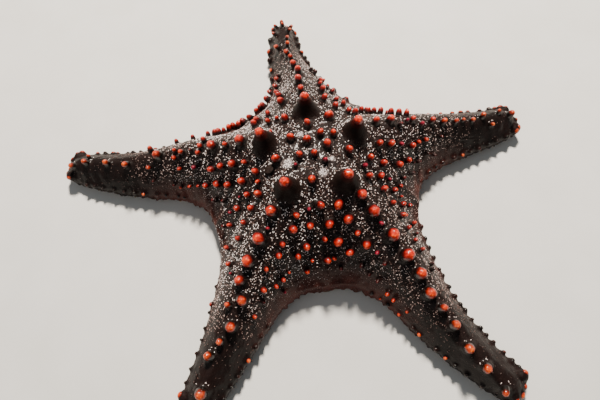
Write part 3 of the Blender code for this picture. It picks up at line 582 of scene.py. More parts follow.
def edge_height(arm, s):
    """Height of the upper edge of the side wall; inside the disc, of the saddle between two arms."""
    out = np.clip(np.asarray(s, float) / SIDE_AT, 0.0, 1.0)
    saddle = NOTCH_EDGE + (CENTRE_HEIGHT - NOTCH_EDGE) * (1 - out ** SADDLE_POWER)
    return np.where(s <= SIDE_AT, saddle, between(EDGE_HEIGHTS, share(arm, s)))


def top_height(arm, s, v):
    """Height of the upper surface."""
    aside = ridge_aside(arm, s)
    span = half_width(arm, s) - np.copysign(aside, aside * (v - aside))
    across = np.clip(np.abs(v - aside) / np.maximum(span, PROBE), 0.0, 1.0)
    rounder = ease((np.asarray(s, float) - SIDE_AT) / ROUNDER_OVER)
    swell = (1 - rounder) * (1 + np.cos(math.pi * across)) / 2 + rounder * np.cos(math.pi * across / 2)
    edge = edge_height(arm, s)
    return edge + (ridge_height(arm, s) - edge) * swell


def groove(arm, s):
    """Half width and depth of the groove along the underside."""
    u = np.clip(share(arm, s), 0.0, 1.0)
    half = GROOVE_HALF + (GROOVE_HALF_TIP - GROOVE_HALF) * u
    depth = GROOVE_DEPTH + (GROOVE_DEPTH_TIP - GROOVE_DEPTH) * u
    return np.where(s > SIDE_AT, np.minimum(half, GROOVE_WIDEST * half_width(arm, s)), half), depth


def unit(vectors):
    """Rows of an array brought to length 1."""
    return vectors / np.maximum(np.linalg.norm(vectors, axis=-1, keepdims=True), 1e-12)


def frames_from(origins, ahead, outward):
    """Origins and 3 x 3 turns whose Z is outward and whose X is as near ahead as can be."""
    outward = unit(outward)
    across = unit(np.cross(outward, ahead))
    return origins, np.stack((np.cross(across, outward), across, outward), axis=-1)


def surface_frames(arm, s, v, lean=0.0):
    """Frames whose Z leaves the upper surface, drawn upright and leant outwards along the arm."""
    s, v = np.broadcast_arrays(np.asarray(s, float), v)
    origins = place(arm, s, v, top_height(arm, s, v))
    ahead = unit(place(arm, s + PROBE, v, top_height(arm, s + PROBE, v)) - origins)
    left = unit(place(arm, s, v + PROBE, top_height(arm, s, v + PROBE)) - origins)
    outward = unit(np.cross(ahead, left)) + np.array((0, 0, UPRIGHT)) + lean * ahead
    return frames_from(origins, ahead, outward)


def edge_frames(arm, s, side, height, lift):
    """Frames whose Z leaves an arm's side wall, raised by lift from the level."""
    origins = place(arm, s, side * half_width(arm, s), height)
    ahead = unit(place(arm, s + PROBE, side * half_width(arm, s + PROBE), height) - origins)
    outward = np.stack((-ahead[..., 1] * side, ahead[..., 0] * side, np.full(len(origins), lift)), axis=-1)
    return frames_from(origins, ahead, outward)


# Modelling helpers


def draws(forms, arm):
    """The random numbers of one kind of form on one arm, the same in each run."""
    return np.random.default_rng(SEED + OWN_SEEDS[forms] + arm)


def clear_selection():
    """Leave edit mode, with nothing selected."""
    if bpy.context.object and bpy.context.object.mode != "OBJECT":
        bpy.ops.object.mode_set(mode="OBJECT")
    bpy.ops.object.select_all(action="DESELECT")


def use_alone(obj):
    """Make an object the only selected one, and the active one."""
    clear_selection()
    obj.select_set(True)
    bpy.context.view_layer.objects.active = obj


def apply_modifier(obj, kind, **settings):
    """Add a modifier with its settings and apply it."""
    use_alone(obj)
    modifier = obj.modifiers.new(kind.lower(), kind)
    for name, value in settings.items():
        setattr(modifier, name, value)
    bpy.ops.object.modifier_apply(modifier=modifier.name)


def points_of(obj):
    """An object's mesh points, as rows of an array."""
    flat = np.empty(len(obj.data.vertices) * 3)
    obj.data.vertices.foreach_get("co", flat)
    return flat.reshape(-1, 3)


def set_points(obj, points):
    """Move an object's mesh points."""
    obj.data.vertices.foreach_set("co", points.astype(np.float32).ravel())
    obj.data.update()


def normals_of(obj):
    """An object's mesh normals at its points, as rows of an array."""
    flat = np.empty(len(obj.data.vertices) * 3)
    obj.data.vertex_normals.foreach_get("vector", flat)
    return flat.reshape(-1, 3)


def set_attribute(obj, name, values):
    """Keep one number for each mesh point under a name that materials read."""
    attribute = obj.data.attributes.new(name, "FLOAT", "POINT")
    attribute.data.foreach_set("value", np.asarray(values, np.float32).ravel())


def close_and_turn_out():
    """In edit mode: close the open rims, turn the faces outwards, and go back to object mode."""
    bpy.ops.mesh.select_all(action="SELECT")
    bpy.ops.mesh.fill_holes(sides=0)
    bpy.ops.mesh.select_all(action="SELECT")
    bpy.ops.mesh.normals_make_consistent(inside=False)
    bpy.ops.object.mode_set(mode="OBJECT")


def turned(sides, profile):
    """Template turned from (radius, height) points: a ring extruded from the foot up to a closed top."""
    clear_selection()
    radius, height = profile[0]
    bpy.ops.mesh.primitive_circle_add(vertices=sides, radius=radius, location=(0, 0, height))
    form = bpy.context.object
    bpy.ops.object.transform_apply(location=True)
    bpy.ops.object.mode_set(mode="EDIT")
    bpy.ops.mesh.select_all(action="SELECT")
    for next_radius, next_height in profile[1:]:
        next_radius = max(next_radius, POINTED)
        bpy.ops.mesh.extrude_region_move(TRANSFORM_OT_translate={"value": (0, 0, next_height - height)})
        scale = next_radius / radius
        bpy.ops.transform.resize(value=(scale, scale, 1), center_override=(0, 0, next_height))
        radius, height = next_radius, next_height
    bpy.ops.mesh.merge(type="CENTER")
    close_and_turn_out()
    return form


def raise_lumps(form, count, swell, from_height):
    """Swell a template's upper part into low uneven lumps, and mark the creases between them."""
    points = points_of(form)
    middle = np.array((0.0, 0.0, from_height))
    turn = math.pi * (3 - math.sqrt(5)) * np.arange(count)
    height = 1 - (np.arange(count) + 0.5) / count
    ring = np.sqrt(1 - height ** 2)
    draw = np.random.default_rng(SEED + count)
    centres = np.stack((ring * np.cos(turn), ring * np.sin(turn), height), axis=-1)
    centres = unit(centres + LUMP_DRIFT * draw.normal(0, 1, centres.shape))
    apart = np.arccos(np.clip(unit(points - middle) @ centres.T, -1, 1))
    from_lump = np.clip(apart / (LUMP_REACH / math.sqrt(count)), 0, 1)
    lump = (np.cos(from_lump * math.pi / 2) * draw.uniform(*LUMP_SIZES, count)).max(axis=1)
    fade = grow(points[:, 2], from_height, LUMP_FADE)
    set_points(form, middle + (points - middle) * (1 + swell * lump * fade)[:, None])
    set_attribute(form, "crease", (1 - lump) * fade)


def make_bead(bend=0.0):
    """Template of a small bead of radius 1, bent sideways along its length."""
    clear_selection()
    bpy.ops.mesh.primitive_ico_sphere_add(subdivisions=1, radius=1.0)
    bead = bpy.context.object
    points = points_of(bead)
    points[:, 1] += bend * (points[:, 0] ** 2 - BEND_LEVEL)
    set_points(bead, points)
    return bead


def spread(name, template, frames, sizes, **marks):
    """Copies of a template at frames, each scaled by its row of sizes, as one object.

    Each mark is an attribute, with one value for each copy or for each point of each copy.
    """
    origins, turns = frames
    base = points_of(template)
    mesh = template.data
    corners = np.empty(len(mesh.loops), int)
    mesh.loops.foreach_get("vertex_index", corners)
    starts = np.empty(len(mesh.polygons), int)
    mesh.polygons.foreach_get("loop_start", starts)
    copies = np.arange(len(origins))[:, None]
    points = np.einsum("nij,nkj->nki", turns, base[None] * sizes[:, None, :]) + origins[:, None, :]
    made = bpy.data.meshes.new(name)
    made.vertices.add(points.shape[0] * points.shape[1])
    made.vertices.foreach_set("co", points.astype(np.float32).ravel())
    made.loops.add(len(origins) * len(corners))
    made.loops.foreach_set("vertex_index", (corners[None] + copies * len(base)).ravel())
    made.polygons.add(len(origins) * len(starts))
    made.polygons.foreach_set("loop_start", (starts[None] + copies * len(corners)).ravel())
    made.update(calc_edges=True)
    made.shade_smooth()
    obj = bpy.data.objects.new(name, made)
    bpy.context.scene.collection.objects.link(obj)
    for mark, values in marks.items():
        values = np.asarray(values, float)
        set_attribute(obj, mark, np.repeat(values, len(base)) if values.ndim == 1 else values)
    return obj


def add_patches(obj, template, arm, s, aside):
    """The map OFBake: each copy has a small patch at its root's place on the unrolled skin."""
    places = np.stack((s / ARM_LENGTHS[arm], 0.5 + aside / UNROLLED_WIDTH), axis=-1)
    places = MAP_MARGIN + (1 - 2 * MAP_MARGIN) * np.clip(places, 0, 1)
    base = points_of(template)[:, :2]
    local = base / np.abs(base).max() / 2 * PATCH
    spots = (places[:, None, :] + local[None]).reshape(-1, 2)
    corners = np.empty(len(obj.data.loops), int)
    obj.data.loops.foreach_get("vertex_index", corners)
    layer = obj.data.uv_layers.new(name="OFBake")
    layer.data.foreach_set("uv", spots[corners].astype(np.float32).ravel())


def remove(*objects):
    """Take away templates that have been copied."""
    for obj in objects:
        bpy.data.objects.remove(obj, do_unlink=True)


def join(objects, name):
    """Join objects into one."""
    use_alone(objects[0])
    for obj in objects[1:]:
        obj.select_set(True)
    bpy.ops.object.join()
    joined = bpy.context.object
    joined.name = name
    joined.data.name = name
    return joined


def finish_form(obj, name):
    """Give a turned or rounded piece its name and its smooth faces."""
    obj.name = name
    obj.data.name = name
    obj.data.shade_smooth()


def dress(obj, material, slot, *nodes):
    """Give a piece its material and its body, and hide the nodes that it stands for; the slot is not used."""
    obj.data.materials.clear()
    obj.data.materials.append(material)
    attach(obj, "root")
    if nodes:
        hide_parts(*nodes)


# Materials


def srgb(code):
    """Linear colour from a sRGB hex value."""
    channels = [int(code[i:i + 2], 16) / 255 for i in (1, 3, 5)]
    return tuple(c / 12.92 if c <= 0.04045 else ((c + 0.055) / 1.055) ** 2.4 for c in channels) + (1.0,)


def new_material(name):
    """Material with an empty Principled shader, as its name, its tree and the shader."""
    material = bpy.data.materials.new(name)
    material.use_nodes = True
    return material, material.node_tree, material.node_tree.nodes["Principled BSDF"]


def add_node(tree, kind, settings=None, stops=(), **inputs):
    """Add a node with its settings, and with values or links for its inputs by name, or by number as i0.

    The stops of a colour ramp are pairs of position and hex colour.
    """
    node = tree.nodes.new(kind)
    for name, value in (settings or {}).items():
        setattr(node, name, value)
    for i, (position, code) in enumerate(stops):
        elements = node.color_ramp.elements
        element = elements[i] if i < len(elements) else elements.new(position)
        element.position = position
        element.color = srgb(code)
    for name, value in inputs.items():
        socket = node.inputs[int(name[1:])] if name[0] == "i" and name[1:].isdigit() else node.inputs[name]
        if isinstance(value, bpy.types.NodeSocket):
            tree.links.new(value, socket)
        else:
            socket.default_value = value
    return node


def set_finish(shader, **values):
    """Set the shader's own sockets; a name's underscores stand for spaces."""
    for name, value in values.items():
        shader.inputs[name.replace("_", " ")].default_value = value


def toned_material(name, attribute, stops, **finish):
    """Material whose colour follows an attribute through colour stops, with its tree and its shader."""
    material, tree, shader = new_material(name)
    level = add_node(tree, "ShaderNodeAttribute", {"attribute_name": attribute}).outputs["Fac"]
    add_colour(tree, shader, level, stops)
    set_finish(shader, **finish)
    return material, tree, shader


def add_colour(tree, shader, level, stops):
    """Lead a level through colour stops to the shader's base colour."""
    colour = add_node(tree, "ShaderNodeValToRGB", stops=stops, i0=level).outputs[0]
    tree.links.new(colour, shader.inputs["Base Color"])


def wet_skin():
    """Live sea-star skin: thin and leathery, near black, wet, browner at the rims and tan below."""
    material, tree, shader = new_material("wet_star_skin")
    where = add_node(tree, "ShaderNodeTexCoord").outputs["Object"]
    pale, brown, below, white, flush, cone = (
        add_node(tree, "ShaderNodeAttribute", {"attribute_name": name}).outputs["Fac"]
        for name in ("pale", "brown", "below", "white", "flush", "cone"))
    cloud = add_node(tree, "ShaderNodeTexNoise", Vector=where, Scale=SKIN_CLOUDS, Detail=4.0).outputs["Fac"]
    fine = add_node(tree, "ShaderNodeTexNoise", Vector=where, Scale=SKIN_FOLDS, Detail=3.0).outputs["Fac"]
    grain = add_node(tree, "ShaderNodeTexVoronoi", Vector=where, Scale=SKIN_GRAINS).outputs["Distance"]
    dark, warm, tan = (
        add_node(tree, "ShaderNodeValToRGB", stops=((0.30, low), (0.70, high)), i0=cloud).outputs[0]
        for low, high in SKIN_TONES)
    specks, milk = (
        add_node(tree, "ShaderNodeMapRange", i0=grain, i1=far, i2=near, i3=least, i4=most).outputs[0]
        for far, near, least, most in ((0.42, 0.20, 0.0, 0.18), (0.62, 0.30, 0.10, 0.75)))
    specks = add_node(tree, "ShaderNodeMath", {"operation": "MULTIPLY"}, i0=specks, i1=pale).outputs[0]
    milk = add_node(tree, "ShaderNodeMath", {"operation": "MULTIPLY"}, i0=milk, i1=white).outputs[0]
    # The pale and brown marks carry painted light and shade as well as the skin's own colour.
    colour = dark
    for amount, tone in ((brown, warm), (specks, srgb("#7d6f68")), (milk, srgb("#dccfce")),
                         (cone, srgb("#170d0a")), (flush, srgb("#3a0a05")), (below, tan)):
        mixed = add_node(tree, "ShaderNodeMix", {"data_type": "RGBA"}, i0=amount, i6=colour, i7=tone)
        colour = mixed.outputs[2]
    tree.links.new(colour, shader.inputs["Base Color"])
    bump = add_node(tree, "ShaderNodeBump", Strength=0.4, Distance=0.0002, Height=grain)
    bump = add_node(tree, "ShaderNodeBump", Strength=0.5, Distance=0.0004, Height=fine,
                    Normal=bump.outputs[0])
    tree.links.new(bump.outputs[0], shader.inputs["Normal"])
    wet = add_node(tree, "ShaderNodeMapRange", i0=cone, i3=0.15, i4=0.01).outputs[0]
    tree.links.new(wet, shader.inputs["Coat Weight"])
    set_finish(shader, Roughness=0.60, Specular_IOR_Level=0.10, Coat_Roughness=0.12)
    return material


def wet_crown():
    """Tubercle: a hard limy knob under thin wet skin, near black at its foot and orange-red on top."""
    material, tree, shader = new_material("wet_tubercle_crown")
    where = add_node(tree, "ShaderNodeTexCoord").outputs["Object"]
    rise, hue = (add_node(tree, "ShaderNodeAttribute", {"attribute_name": name}).outputs["Fac"]
                 for name in ("rise", "hue"))
    cloud = add_node(tree, "ShaderNodeTexNoise", Vector=where, Scale=CROWN_CLOUDS, Detail=3.0).outputs["Fac"]
    unrest = add_node(tree, "ShaderNodeMapRange", i0=cloud, i1=0.25, i2=0.75, i3=-0.12, i4=0.12).outputs[0]
    level = add_node(tree, "ShaderNodeMath", {"operation": "ADD"}, i0=rise, i1=unrest).outputs[0]
    # Own colour dark at the foot, red above; darker sides and a bright very top are partly painted shade and
    # highlight.
    crimson, red, orange = (add_node(tree, "ShaderNodeValToRGB", stops=stops, i0=level).outputs[0]
                            for stops in CROWN_TONES)
    to_red = add_node(tree, "ShaderNodeMapRange", i0=hue, i1=0.10, i2=0.35).outputs[0]
    to_orange = add_node(tree, "ShaderNodeMapRange", i0=hue, i1=0.45, i2=1.0).outputs[0]
    colour = crimson
    for amount, tone in ((to_red, red), (to_orange, orange)):
        mixed = add_node(tree, "ShaderNodeMix", {"data_type": "RGBA"}, i0=amount, i6=colour, i7=tone)
        colour = mixed.outputs[2]
    tree.links.new(colour, shader.inputs["Base Color"])
    bump = add_node(tree, "ShaderNodeBump", Strength=0.35, Distance=0.0002, Height=cloud)
    tree.links.new(bump.outputs[0], shader.inputs["Normal"])
    set_finish(shader, Roughness=0.50, Specular_IOR_Level=0.15, Coat_Weight=0.6, Coat_Roughness=0.12)
    return material


def soft_papula():
    """Papulae: tiny soft skin gills, from dark brown to milky, each of its own tone."""
    stops = ((0.0, "#170c0a"), (0.30, "#54372f"), (0.60, "#b69c95"), (1.0, "#fff6f4"))
    return toned_material("soft_papula", "tone", stops, Roughness=0.38, Coat_Weight=0.2,
                          Coat_Roughness=0.15)[0]


def limy_granule():
    """Granules and spines below: small limy beads under thin skin, cream to olive tan."""
    stops = ((0.0, "#5b442f"), (0.5, "#9b7d58"), (1.0, "#d9bd92"))
    return toned_material("limy_granule", "tone", stops, Roughness=0.45, Coat_Weight=0.2,
                          Coat_Roughness=0.2)[0]


def clear_foot():
    """Tube feet: thin watery tubes of skin, pale yellow, with a darker sucker."""
    stops = ((0.0, "#d8c08a"), (0.80, "#c9a768"), (1.0, "#8c6434"))
    return toned_material("watery_tube_foot", "rise", stops, Roughness=0.30, Coat_Weight=0.4,
                          Coat_Roughness=0.1)[0]


def furrowed_plate():
    """Sieve plate: limy stone, cut by fine branching furrows, darker than the skin's flecks round it."""
    # Darker in the furrows and down the low sides, where rise is low: painted shade.
    stops = ((0.0, "#070403"), (0.45, "#150d0b"), (1.0, "#2e221e"))
    material, tree, shader = toned_material("furrowed_sieve_plate", "rise", stops, Roughness=0.7,
                                            Specular_IOR_Level=0.1)
    where = add_node(tree, "ShaderNodeTexCoord").outputs["Object"]
    cloud = add_node(tree, "ShaderNodeTexNoise", Vector=where, Scale=PLATE_CLOUDS).outputs["Fac"]
    bump = add_node(tree, "ShaderNodeBump", Strength=0.3, Distance=0.0002, Height=cloud)
    tree.links.new(bump.outputs[0], shader.inputs["Normal"])
    return material


def wet_membrane():
    """Mouth membrane: soft, thin and puckered, fleshy tan, wet."""
    material, tree, shader = new_material("wet_mouth_membrane")
    where = add_node(tree, "ShaderNodeTexCoord").outputs["Object"]
    cloud = add_node(tree, "ShaderNodeTexNoise", Vector=where, Scale=MEMBRANE_CLOUDS, Detail=3.0)
    add_colour(tree, shader, cloud.outputs["Fac"], ((0.3, "#8a5b44"), (0.7, "#b98a6c")))
    set_finish(shader, Roughness=0.35, Coat_Weight=0.4, Coat_Roughness=0.15)
    return material


def red_eyespot():
    """Eyespot: a cushion of red light-sensing cups on a short feeler, wet."""
    material, tree, shader = new_material("red_eyespot")
    where = add_node(tree, "ShaderNodeTexCoord").outputs["Object"]
    dots = add_node(tree, "ShaderNodeTexVoronoi", Vector=where, Scale=EYESPOT_CUPS).outputs["Distance"]
    add_colour(tree, shader, dots, ((0.2, "#c01a10"), (0.7, "#5c0b08")))
    set_finish(shader, Roughness=0.3, Coat_Weight=0.4, Coat_Roughness=0.1)
    return material


# Knobs


def top_knobs(arm):
    """The knobs on top of an arm and its wedge of the disc: kinds, tints, and s, v, radius and height."""
    kinds = ["great"]
    tints = ["red"]
    rows = [(GREAT_AT, 0.0, GREAT_RADIUS, GREAT_HEIGHT)]
    for kind, tint, group in KNOB_GROUPS:
        for s, v, crown in group[arm]:
            radius = crown * MM * FOOT_WIDER
            kinds.append(kind)
            tints.append(tint)
            rows.append((s * MM, v * MM, radius, radius * float(between(KNOB_TALLNESS, radius))))
    return kinds, tints, np.array(rows)


def along_edges(arm, draw):
    """The small knobs along an arm's upper edges: frames, and rows of s, radius and share of colour."""
    rows = []
    for side, first, last, pitch, radius, coloured in EDGE_ROWS[arm]:
        s = np.arange(first, last, pitch)
        s = (s + EDGE_KNOB_DRIFT * pitch * draw.uniform(-1, 1, len(s))) * MM
        size = radius * MM * (1 + EDGE_SIZE_DRIFT * draw.uniform(-1, 1, len(s)))
        redness = np.where(draw.random(len(s)) < coloured, draw.uniform(*COLOURED, len(s)),
                           draw.uniform(*UNCOLOURED, len(s)))
        rows.append(np.stack((s, np.full(len(s), side), size, redness), axis=-1))
    s, side, size, redness = np.concatenate(rows).T
    frames = edge_frames(arm, s, side, edge_height(arm, s), EDGE_KNOB_LIFT)
    return frames, np.stack((s, size, redness), axis=-1)


def round_tip(arm, draw):
    """The knobs round an arm's tip: frames, and rows of s, radius and share of colour."""
    fan = np.linspace(-TIP_FAN, TIP_FAN, TIP_KNOBS) + TIP_FAN_DRIFT * draw.uniform(-1, 1, TIP_KNOBS)
    fan = np.radians(fan)
    s = ARM_LENGTHS[arm] - TIP_KNOBS_INSET + TIP_KNOBS_REACH * np.cos(fan)
    v = half_width(arm, ARM_LENGTHS[arm] - TIP_ROUND) * TIP_KNOBS_ASIDE * np.sin(fan)
    z = TIP_KNOBS_HEIGHT + TIP_KNOBS_UNEVEN * draw.uniform(-1, 1, TIP_KNOBS)
    way = heading(arm, ARM_LENGTHS[arm]) + fan
    outward = np.stack((np.cos(way), np.sin(way), np.full(TIP_KNOBS, TIP_KNOB_LIFT)), axis=-1)
    frames = frames_from(place(arm, s, v, z), UP, outward)
    size = TIP_KNOB_RADIUS * (1 + TIP_SIZE_DRIFT * draw.uniform(-1, 1, TIP_KNOBS))
    return frames, np.stack((s, size, draw.uniform(*COLOURED, TIP_KNOBS)), axis=-1)


def spun(turns, spin):
    """Turns of frames spun about their own Z."""
    cos, sin = np.cos(spin)[:, None], np.sin(spin)[:, None]
    return np.stack((turns[..., 0] * cos + turns[..., 1] * sin,
                     turns[..., 1] * cos - turns[..., 0] * sin, turns[..., 2]), axis=-1)


def knobs_of(arm):
    """Every knob of an arm and its wedge: kinds, origins, turns, sizes and marks, as arrays by name."""
    draw = draws("knobs", arm)
    kinds, tints, top = top_knobs(arm)
    lean = np.where(np.array(kinds) == "great", GREAT_LEAN, LEAN)
    top_at = surface_frames(arm, top[:, 0], top[:, 1], lean[:, None])
    edge_at, edge = along_edges(arm, draw)
    tip_at, tip = round_tip(arm, draw)
    low = np.concatenate((edge, tip))
    kinds = np.array(kinds + ["edge"] * len(low))
    s = np.concatenate((top[:, 0], low[:, 0]))
    radius = np.concatenate((top[:, 2], low[:, 1]))
    height = np.concatenate((top[:, 3], EDGE_KNOB_TALL * low[:, 1]))
    origins, turns = (np.concatenate(parts) for parts in zip(top_at, edge_at, tip_at))
    count = len(s)
    small = np.isin(kinds, ("row", "edge"))
    longer = np.where(small, draw.uniform(1.0, KNOB_LONGER, count),
                      draw.uniform(1.0, LARGE_KNOB_LONGER, count))
    own_hue, own_redness = np.array([TINTS[tint] for tint in tints + ["red"] * len(low)]).T
    outwards = ease(np.clip(share(arm, s), 0, 1) / ORANGE_BY)
    hue = own_hue + np.where(own_hue > CRIMSON_UP_TO, ORANGE_OUTWARDS, 0.0) * outwards
    redness = own_redness * np.concatenate((np.ones(len(top)), low[:, 2]))
    return {"kind": kinds, "s": s, "origins": origins, "radius": radius,
            "turns": spun(turns, draw.uniform(-math.pi, math.pi, count)),
            "sizes": np.stack((radius * longer, radius / longer ** NARROWER_POWER, height), axis=-1),
            "hue": np.clip(hue + draw.uniform(-HUE_DRIFT, HUE_DRIFT, count), 0, 1),
            "redness": redness * draw.uniform(LEAST_REDNESS, 1.0, count),
            "dark_to": np.array([DARK_TO[kind] for kind in kinds])}


def make_knob_templates():
    """Templates of the crowns, from the great tubercles down to the edge knobs."""
    templates = {kind: turned(*form) for kind, form in CROWNS.items()}
    for kind, lumps in LUMPS.items():
        apply_modifier(templates[kind], "SUBSURF", levels=1, render_levels=1)
        raise_lumps(templates[kind], *lumps)
    set_attribute(templates["edge"], "crease", np.zeros(len(points_of(templates["edge"]))))
    return templates


def make_crowns(arm, knobs, templates, material):
    """The orange-red crowns of one arm and its wedge of the disc, as one piece."""
    pieces = []
    for kind in DARK_TO:
        mine = knobs["kind"] == kind
        template = templates[kind]
        height = points_of(template)[:, 2]
        crease = np.empty(len(height))
        template.data.attributes["crease"].data.foreach_get("value", crease)
        dark_to = knobs["dark_to"][mine, None]
        rise = np.clip((height[None] - dark_to) / (1 - dark_to), 0, 1) * knobs["redness"][mine, None]
        # Painted shade in the creases between the lumps.
        rise = rise * (1 - CREASE_SHADE_PAINTED * crease[None])
        pieces.append(spread("crowns", template, (knobs["origins"][mine], knobs["turns"][mine]),
                             knobs["sizes"][mine], rise=rise, hue=knobs["hue"][mine]))
    crowns = join(pieces, f"crowns_{ARM_NAMES[arm]}")
    dress(crowns, material, "tubercle")


# Skin


def skin_sections(arm, s):
    """Rings of points round an arm and its wedge of the disc, one ring for each distance."""
    width = half_width(arm, s) + np.where(s < SIDE_AT, SEAM_LAP, 0.0)
    edge = edge_height(arm, s)
    free = ease((s - SIDE_AT) / ROUNDER_OVER)
    over = width[:, None] * (1 - 2 * np.arange(SKIN_ACROSS + 1) / SKIN_ACROSS)[None]
    over_z = top_height(arm, s[:, None], over) - COAT_DEPTH
    level = np.full(len(s), GRANULE_DEPTH)
    side = ((width + SIDE_BULGE * free - COAT_DEPTH, 0.5 * edge),
            (width - SIDE_TUCK * free, level + LOWER_EDGE_RISE * free),
            (width * FLAT_SHARE, level),
            (width * FLAT_SHARE / 2, level))
    right = np.stack([v for v, _ in side], axis=-1)
    heights = np.stack([z for _, z in side], axis=-1)
    v = np.concatenate((over, -right, np.zeros((len(s), 1)), right[:, ::-1]), axis=1)
    z = np.concatenate((over_z, heights, level[:, None], heights[:, ::-1]), axis=1)
    return place(arm, s[:, None], v, z)


def wrap_arm(arm):
    """An arm and its wedge of the disc: a grid wrapped round its sections and closed at its ends."""
    s = np.linspace(NODE_GAP, ARM_LENGTHS[arm], round(ARM_LENGTHS[arm] / SKIN_ROW))
    rings = skin_sections(arm, s)
    rows, columns = rings.shape[:2]
    clear_selection()
    bpy.ops.mesh.primitive_grid_add(x_subdivisions=columns, y_subdivisions=rows - 1, size=2.0)
    body = bpy.context.object
    flat = points_of(body)
    column = np.round((flat[:, 0] + 1) / 2 * columns).astype(int) % columns
    row = np.round((flat[:, 1] + 1) / 2 * (rows - 1)).astype(int)
    set_points(body, rings[row, column])
    bpy.ops.object.mode_set(mode="EDIT")
    bpy.ops.mesh.select_all(action="SELECT")
    bpy.ops.mesh.remove_doubles(threshold=MERGE)
    close_and_turn_out()
    return body


def find_places(points):
    """Arm, s and v of points, from the nearest spot of the arms' middle lines."""
    tree = KDTree(sum(len(line[0]) for line in MIDDLE_LINES))
    owners = []
    for arm in ARMS:
        for s, x, y in zip(*MIDDLE_LINES[arm]):
            tree.insert((x, y, 0.0), len(owners))
            owners.append((arm, s))
    tree.balance()
    arms = np.empty(len(points), int)
    along = np.empty(len(points))
    for i, (x, y, _) in enumerate(points):
        arms[i], along[i] = owners[tree.find((x, y, 0.0))[1]]
    aside = np.empty(len(points))
    for arm in ARMS:
        mine = arms == arm
        angle = heading(arm, along[mine])
        offset = points[mine] - place(arm, along[mine], 0.0, 0.0)
        along[mine] += offset[:, 0] * np.cos(angle) + offset[:, 1] * np.sin(angle)
        aside[mine] = -offset[:, 0] * np.sin(angle) + offset[:, 1] * np.cos(angle)
    return arms, along, aside


def furrows(x, pitch, sharpness):
    """0 on the plates and 1 in the furrows between them."""
    return np.abs(np.cos(math.pi * x / pitch)) ** sharpness


def relief_depth(arm, s, v, z):
    """How far the furrows between the plates of the side walls and the ribs of the flanks sink."""
    out = np.clip(share(arm, s), -1.0, 1.0)
    across = np.abs(v) / np.maximum(half_width(arm, s), PROBE)
    edge = edge_height(arm, s)
    wall = grow(out, *WALL_ALONG) * grow(across, *WALL_ACROSS) * ease(WALL_TOP - z / edge)
    depth, sharpness = PLATE_FURROWS
    middle_depth, level, width = MIDDLE_FURROW
    plates = depth * furrows(s, PLATE_PITCH, sharpness)
    plates = plates + middle_depth * np.exp(-((z - level * edge) / width) ** 2)
    flank = grow(out, *FLANK_ALONG) * fall(out, *FLANK_BEFORE_TIP) * grow(across, *FLANK_ACROSS)
    flank = flank * grow(z, *FLANK_UP)
    depth, sharpness = RIB_FURROWS
    wave, turns = RIB_WAVE
    ribs = depth * furrows(s + wave * np.sin(v * turns), RIB_PITCH, sharpness)
    return wall * plates + flank * (1 - wall) * ribs


def groove_depth(arm, s, v):
    """How far the groove below sinks at a place."""
    half, depth = groove(arm, s)
    inside = fall(np.abs(v), half * GROOVE_LIP, half * GROOVE_WALL)
    return (depth - GRANULE_DEPTH) * inside * fall(s, ARM_LENGTHS[arm] - GROOVE_END[0], GROOVE_END[1])


def great_marks(points, knobs):
    """Marks of the great tubercles at places: the flush below their red tops, and their bare cones."""
    flush = np.zeros(len(points))
    cone = np.zeros(len(points))
    for mine in knobs:
        for i in np.flatnonzero(mine["kind"] == "great"):
            axis = mine["turns"][i][:, 2]
            offset = points - mine["origins"][i]
            height = offset @ axis
            aside = np.linalg.norm(offset - height[:, None] * axis, axis=1) / GREAT_RADIUS
            near = fall(aside, *CONE_RIM)
            flush = np.maximum(flush, near * grow(height / GREAT_HEIGHT, *FLUSH_UP))
            cone = np.maximum(cone, near)
    return flush, cone


def shape_skin(skin, knobs):
    """Relief on top, grooves and the mouth's hollow below, and the marks that the material reads."""
    points = points_of(skin)
    normals = normals_of(skin)
    arms, s, v = find_places(points)
    below = (normals[:, 2] < -FACING_DOWN) & (points[:, 2] < UNDERSIDE_TOP)
    sink = np.zeros(len(points))
    push = np.zeros(len(points))
    marks = {name: np.zeros(len(points)) for name in ("pale", "brown", "white")}
    for arm in ARMS:
        mine = arms == arm
        push[mine] = -relief_depth(arm, s[mine], v[mine], points[mine, 2])
        sink[mine] = groove_depth(arm, s[mine], v[mine])
        marks["pale"][mine], marks["brown"][mine] = region(arm, s[mine], v[mine])
        marks["white"][mine] = white_patch(arm, s[mine], v[mine])
    marks["flush"], marks["cone"] = great_marks(points, knobs)
    swell, fine = (height * np.array([noise.noise(Vector(p) * scale) for p in points])
                   for height, scale in (SWELLS, FINE_SWELLS))
    push += ease(points[:, 2] / RELIEF_OVER) * (swell + fine) * (1 - SMOOTHER_CONES * marks["cone"])
    from_centre = np.hypot(points[:, 0] - STAR_CENTRE.x, points[:, 1] - STAR_CENTRE.y)
    hollow = MOUTH_DEPTH * fall(from_centre, MOUTH_RADIUS * MOUTH_LIP, MOUTH_RADIUS * MOUTH_WALL)
    sink = np.where(below, np.maximum(sink, hollow), 0.0)
    points = points + normals * push[:, None]
    points[:, 2] = np.maximum(points[:, 2], GRANULE_DEPTH) + sink
    set_points(skin, points)
    for name, values in marks.items():
        set_attribute(skin, name, values)
    tan = ease((TAN_UP_TO[0] - points[:, 2] + 2 * sink) / TAN_UP_TO[1])
    set_attribute(skin, "below", tan * (normals[:, 2] < FACING_DOWN))


def facing_light(arm, s, v):
    """How far a place faces +Y, where the light comes from, or lies towards it."""
    facing = v / np.maximum(half_width(arm, s), PROBE) * np.cos(heading(arm, s))
    most, over = NORTH_LIT
    return facing + most * ease(place(arm, s, v, 0.0)[..., 1] / over)


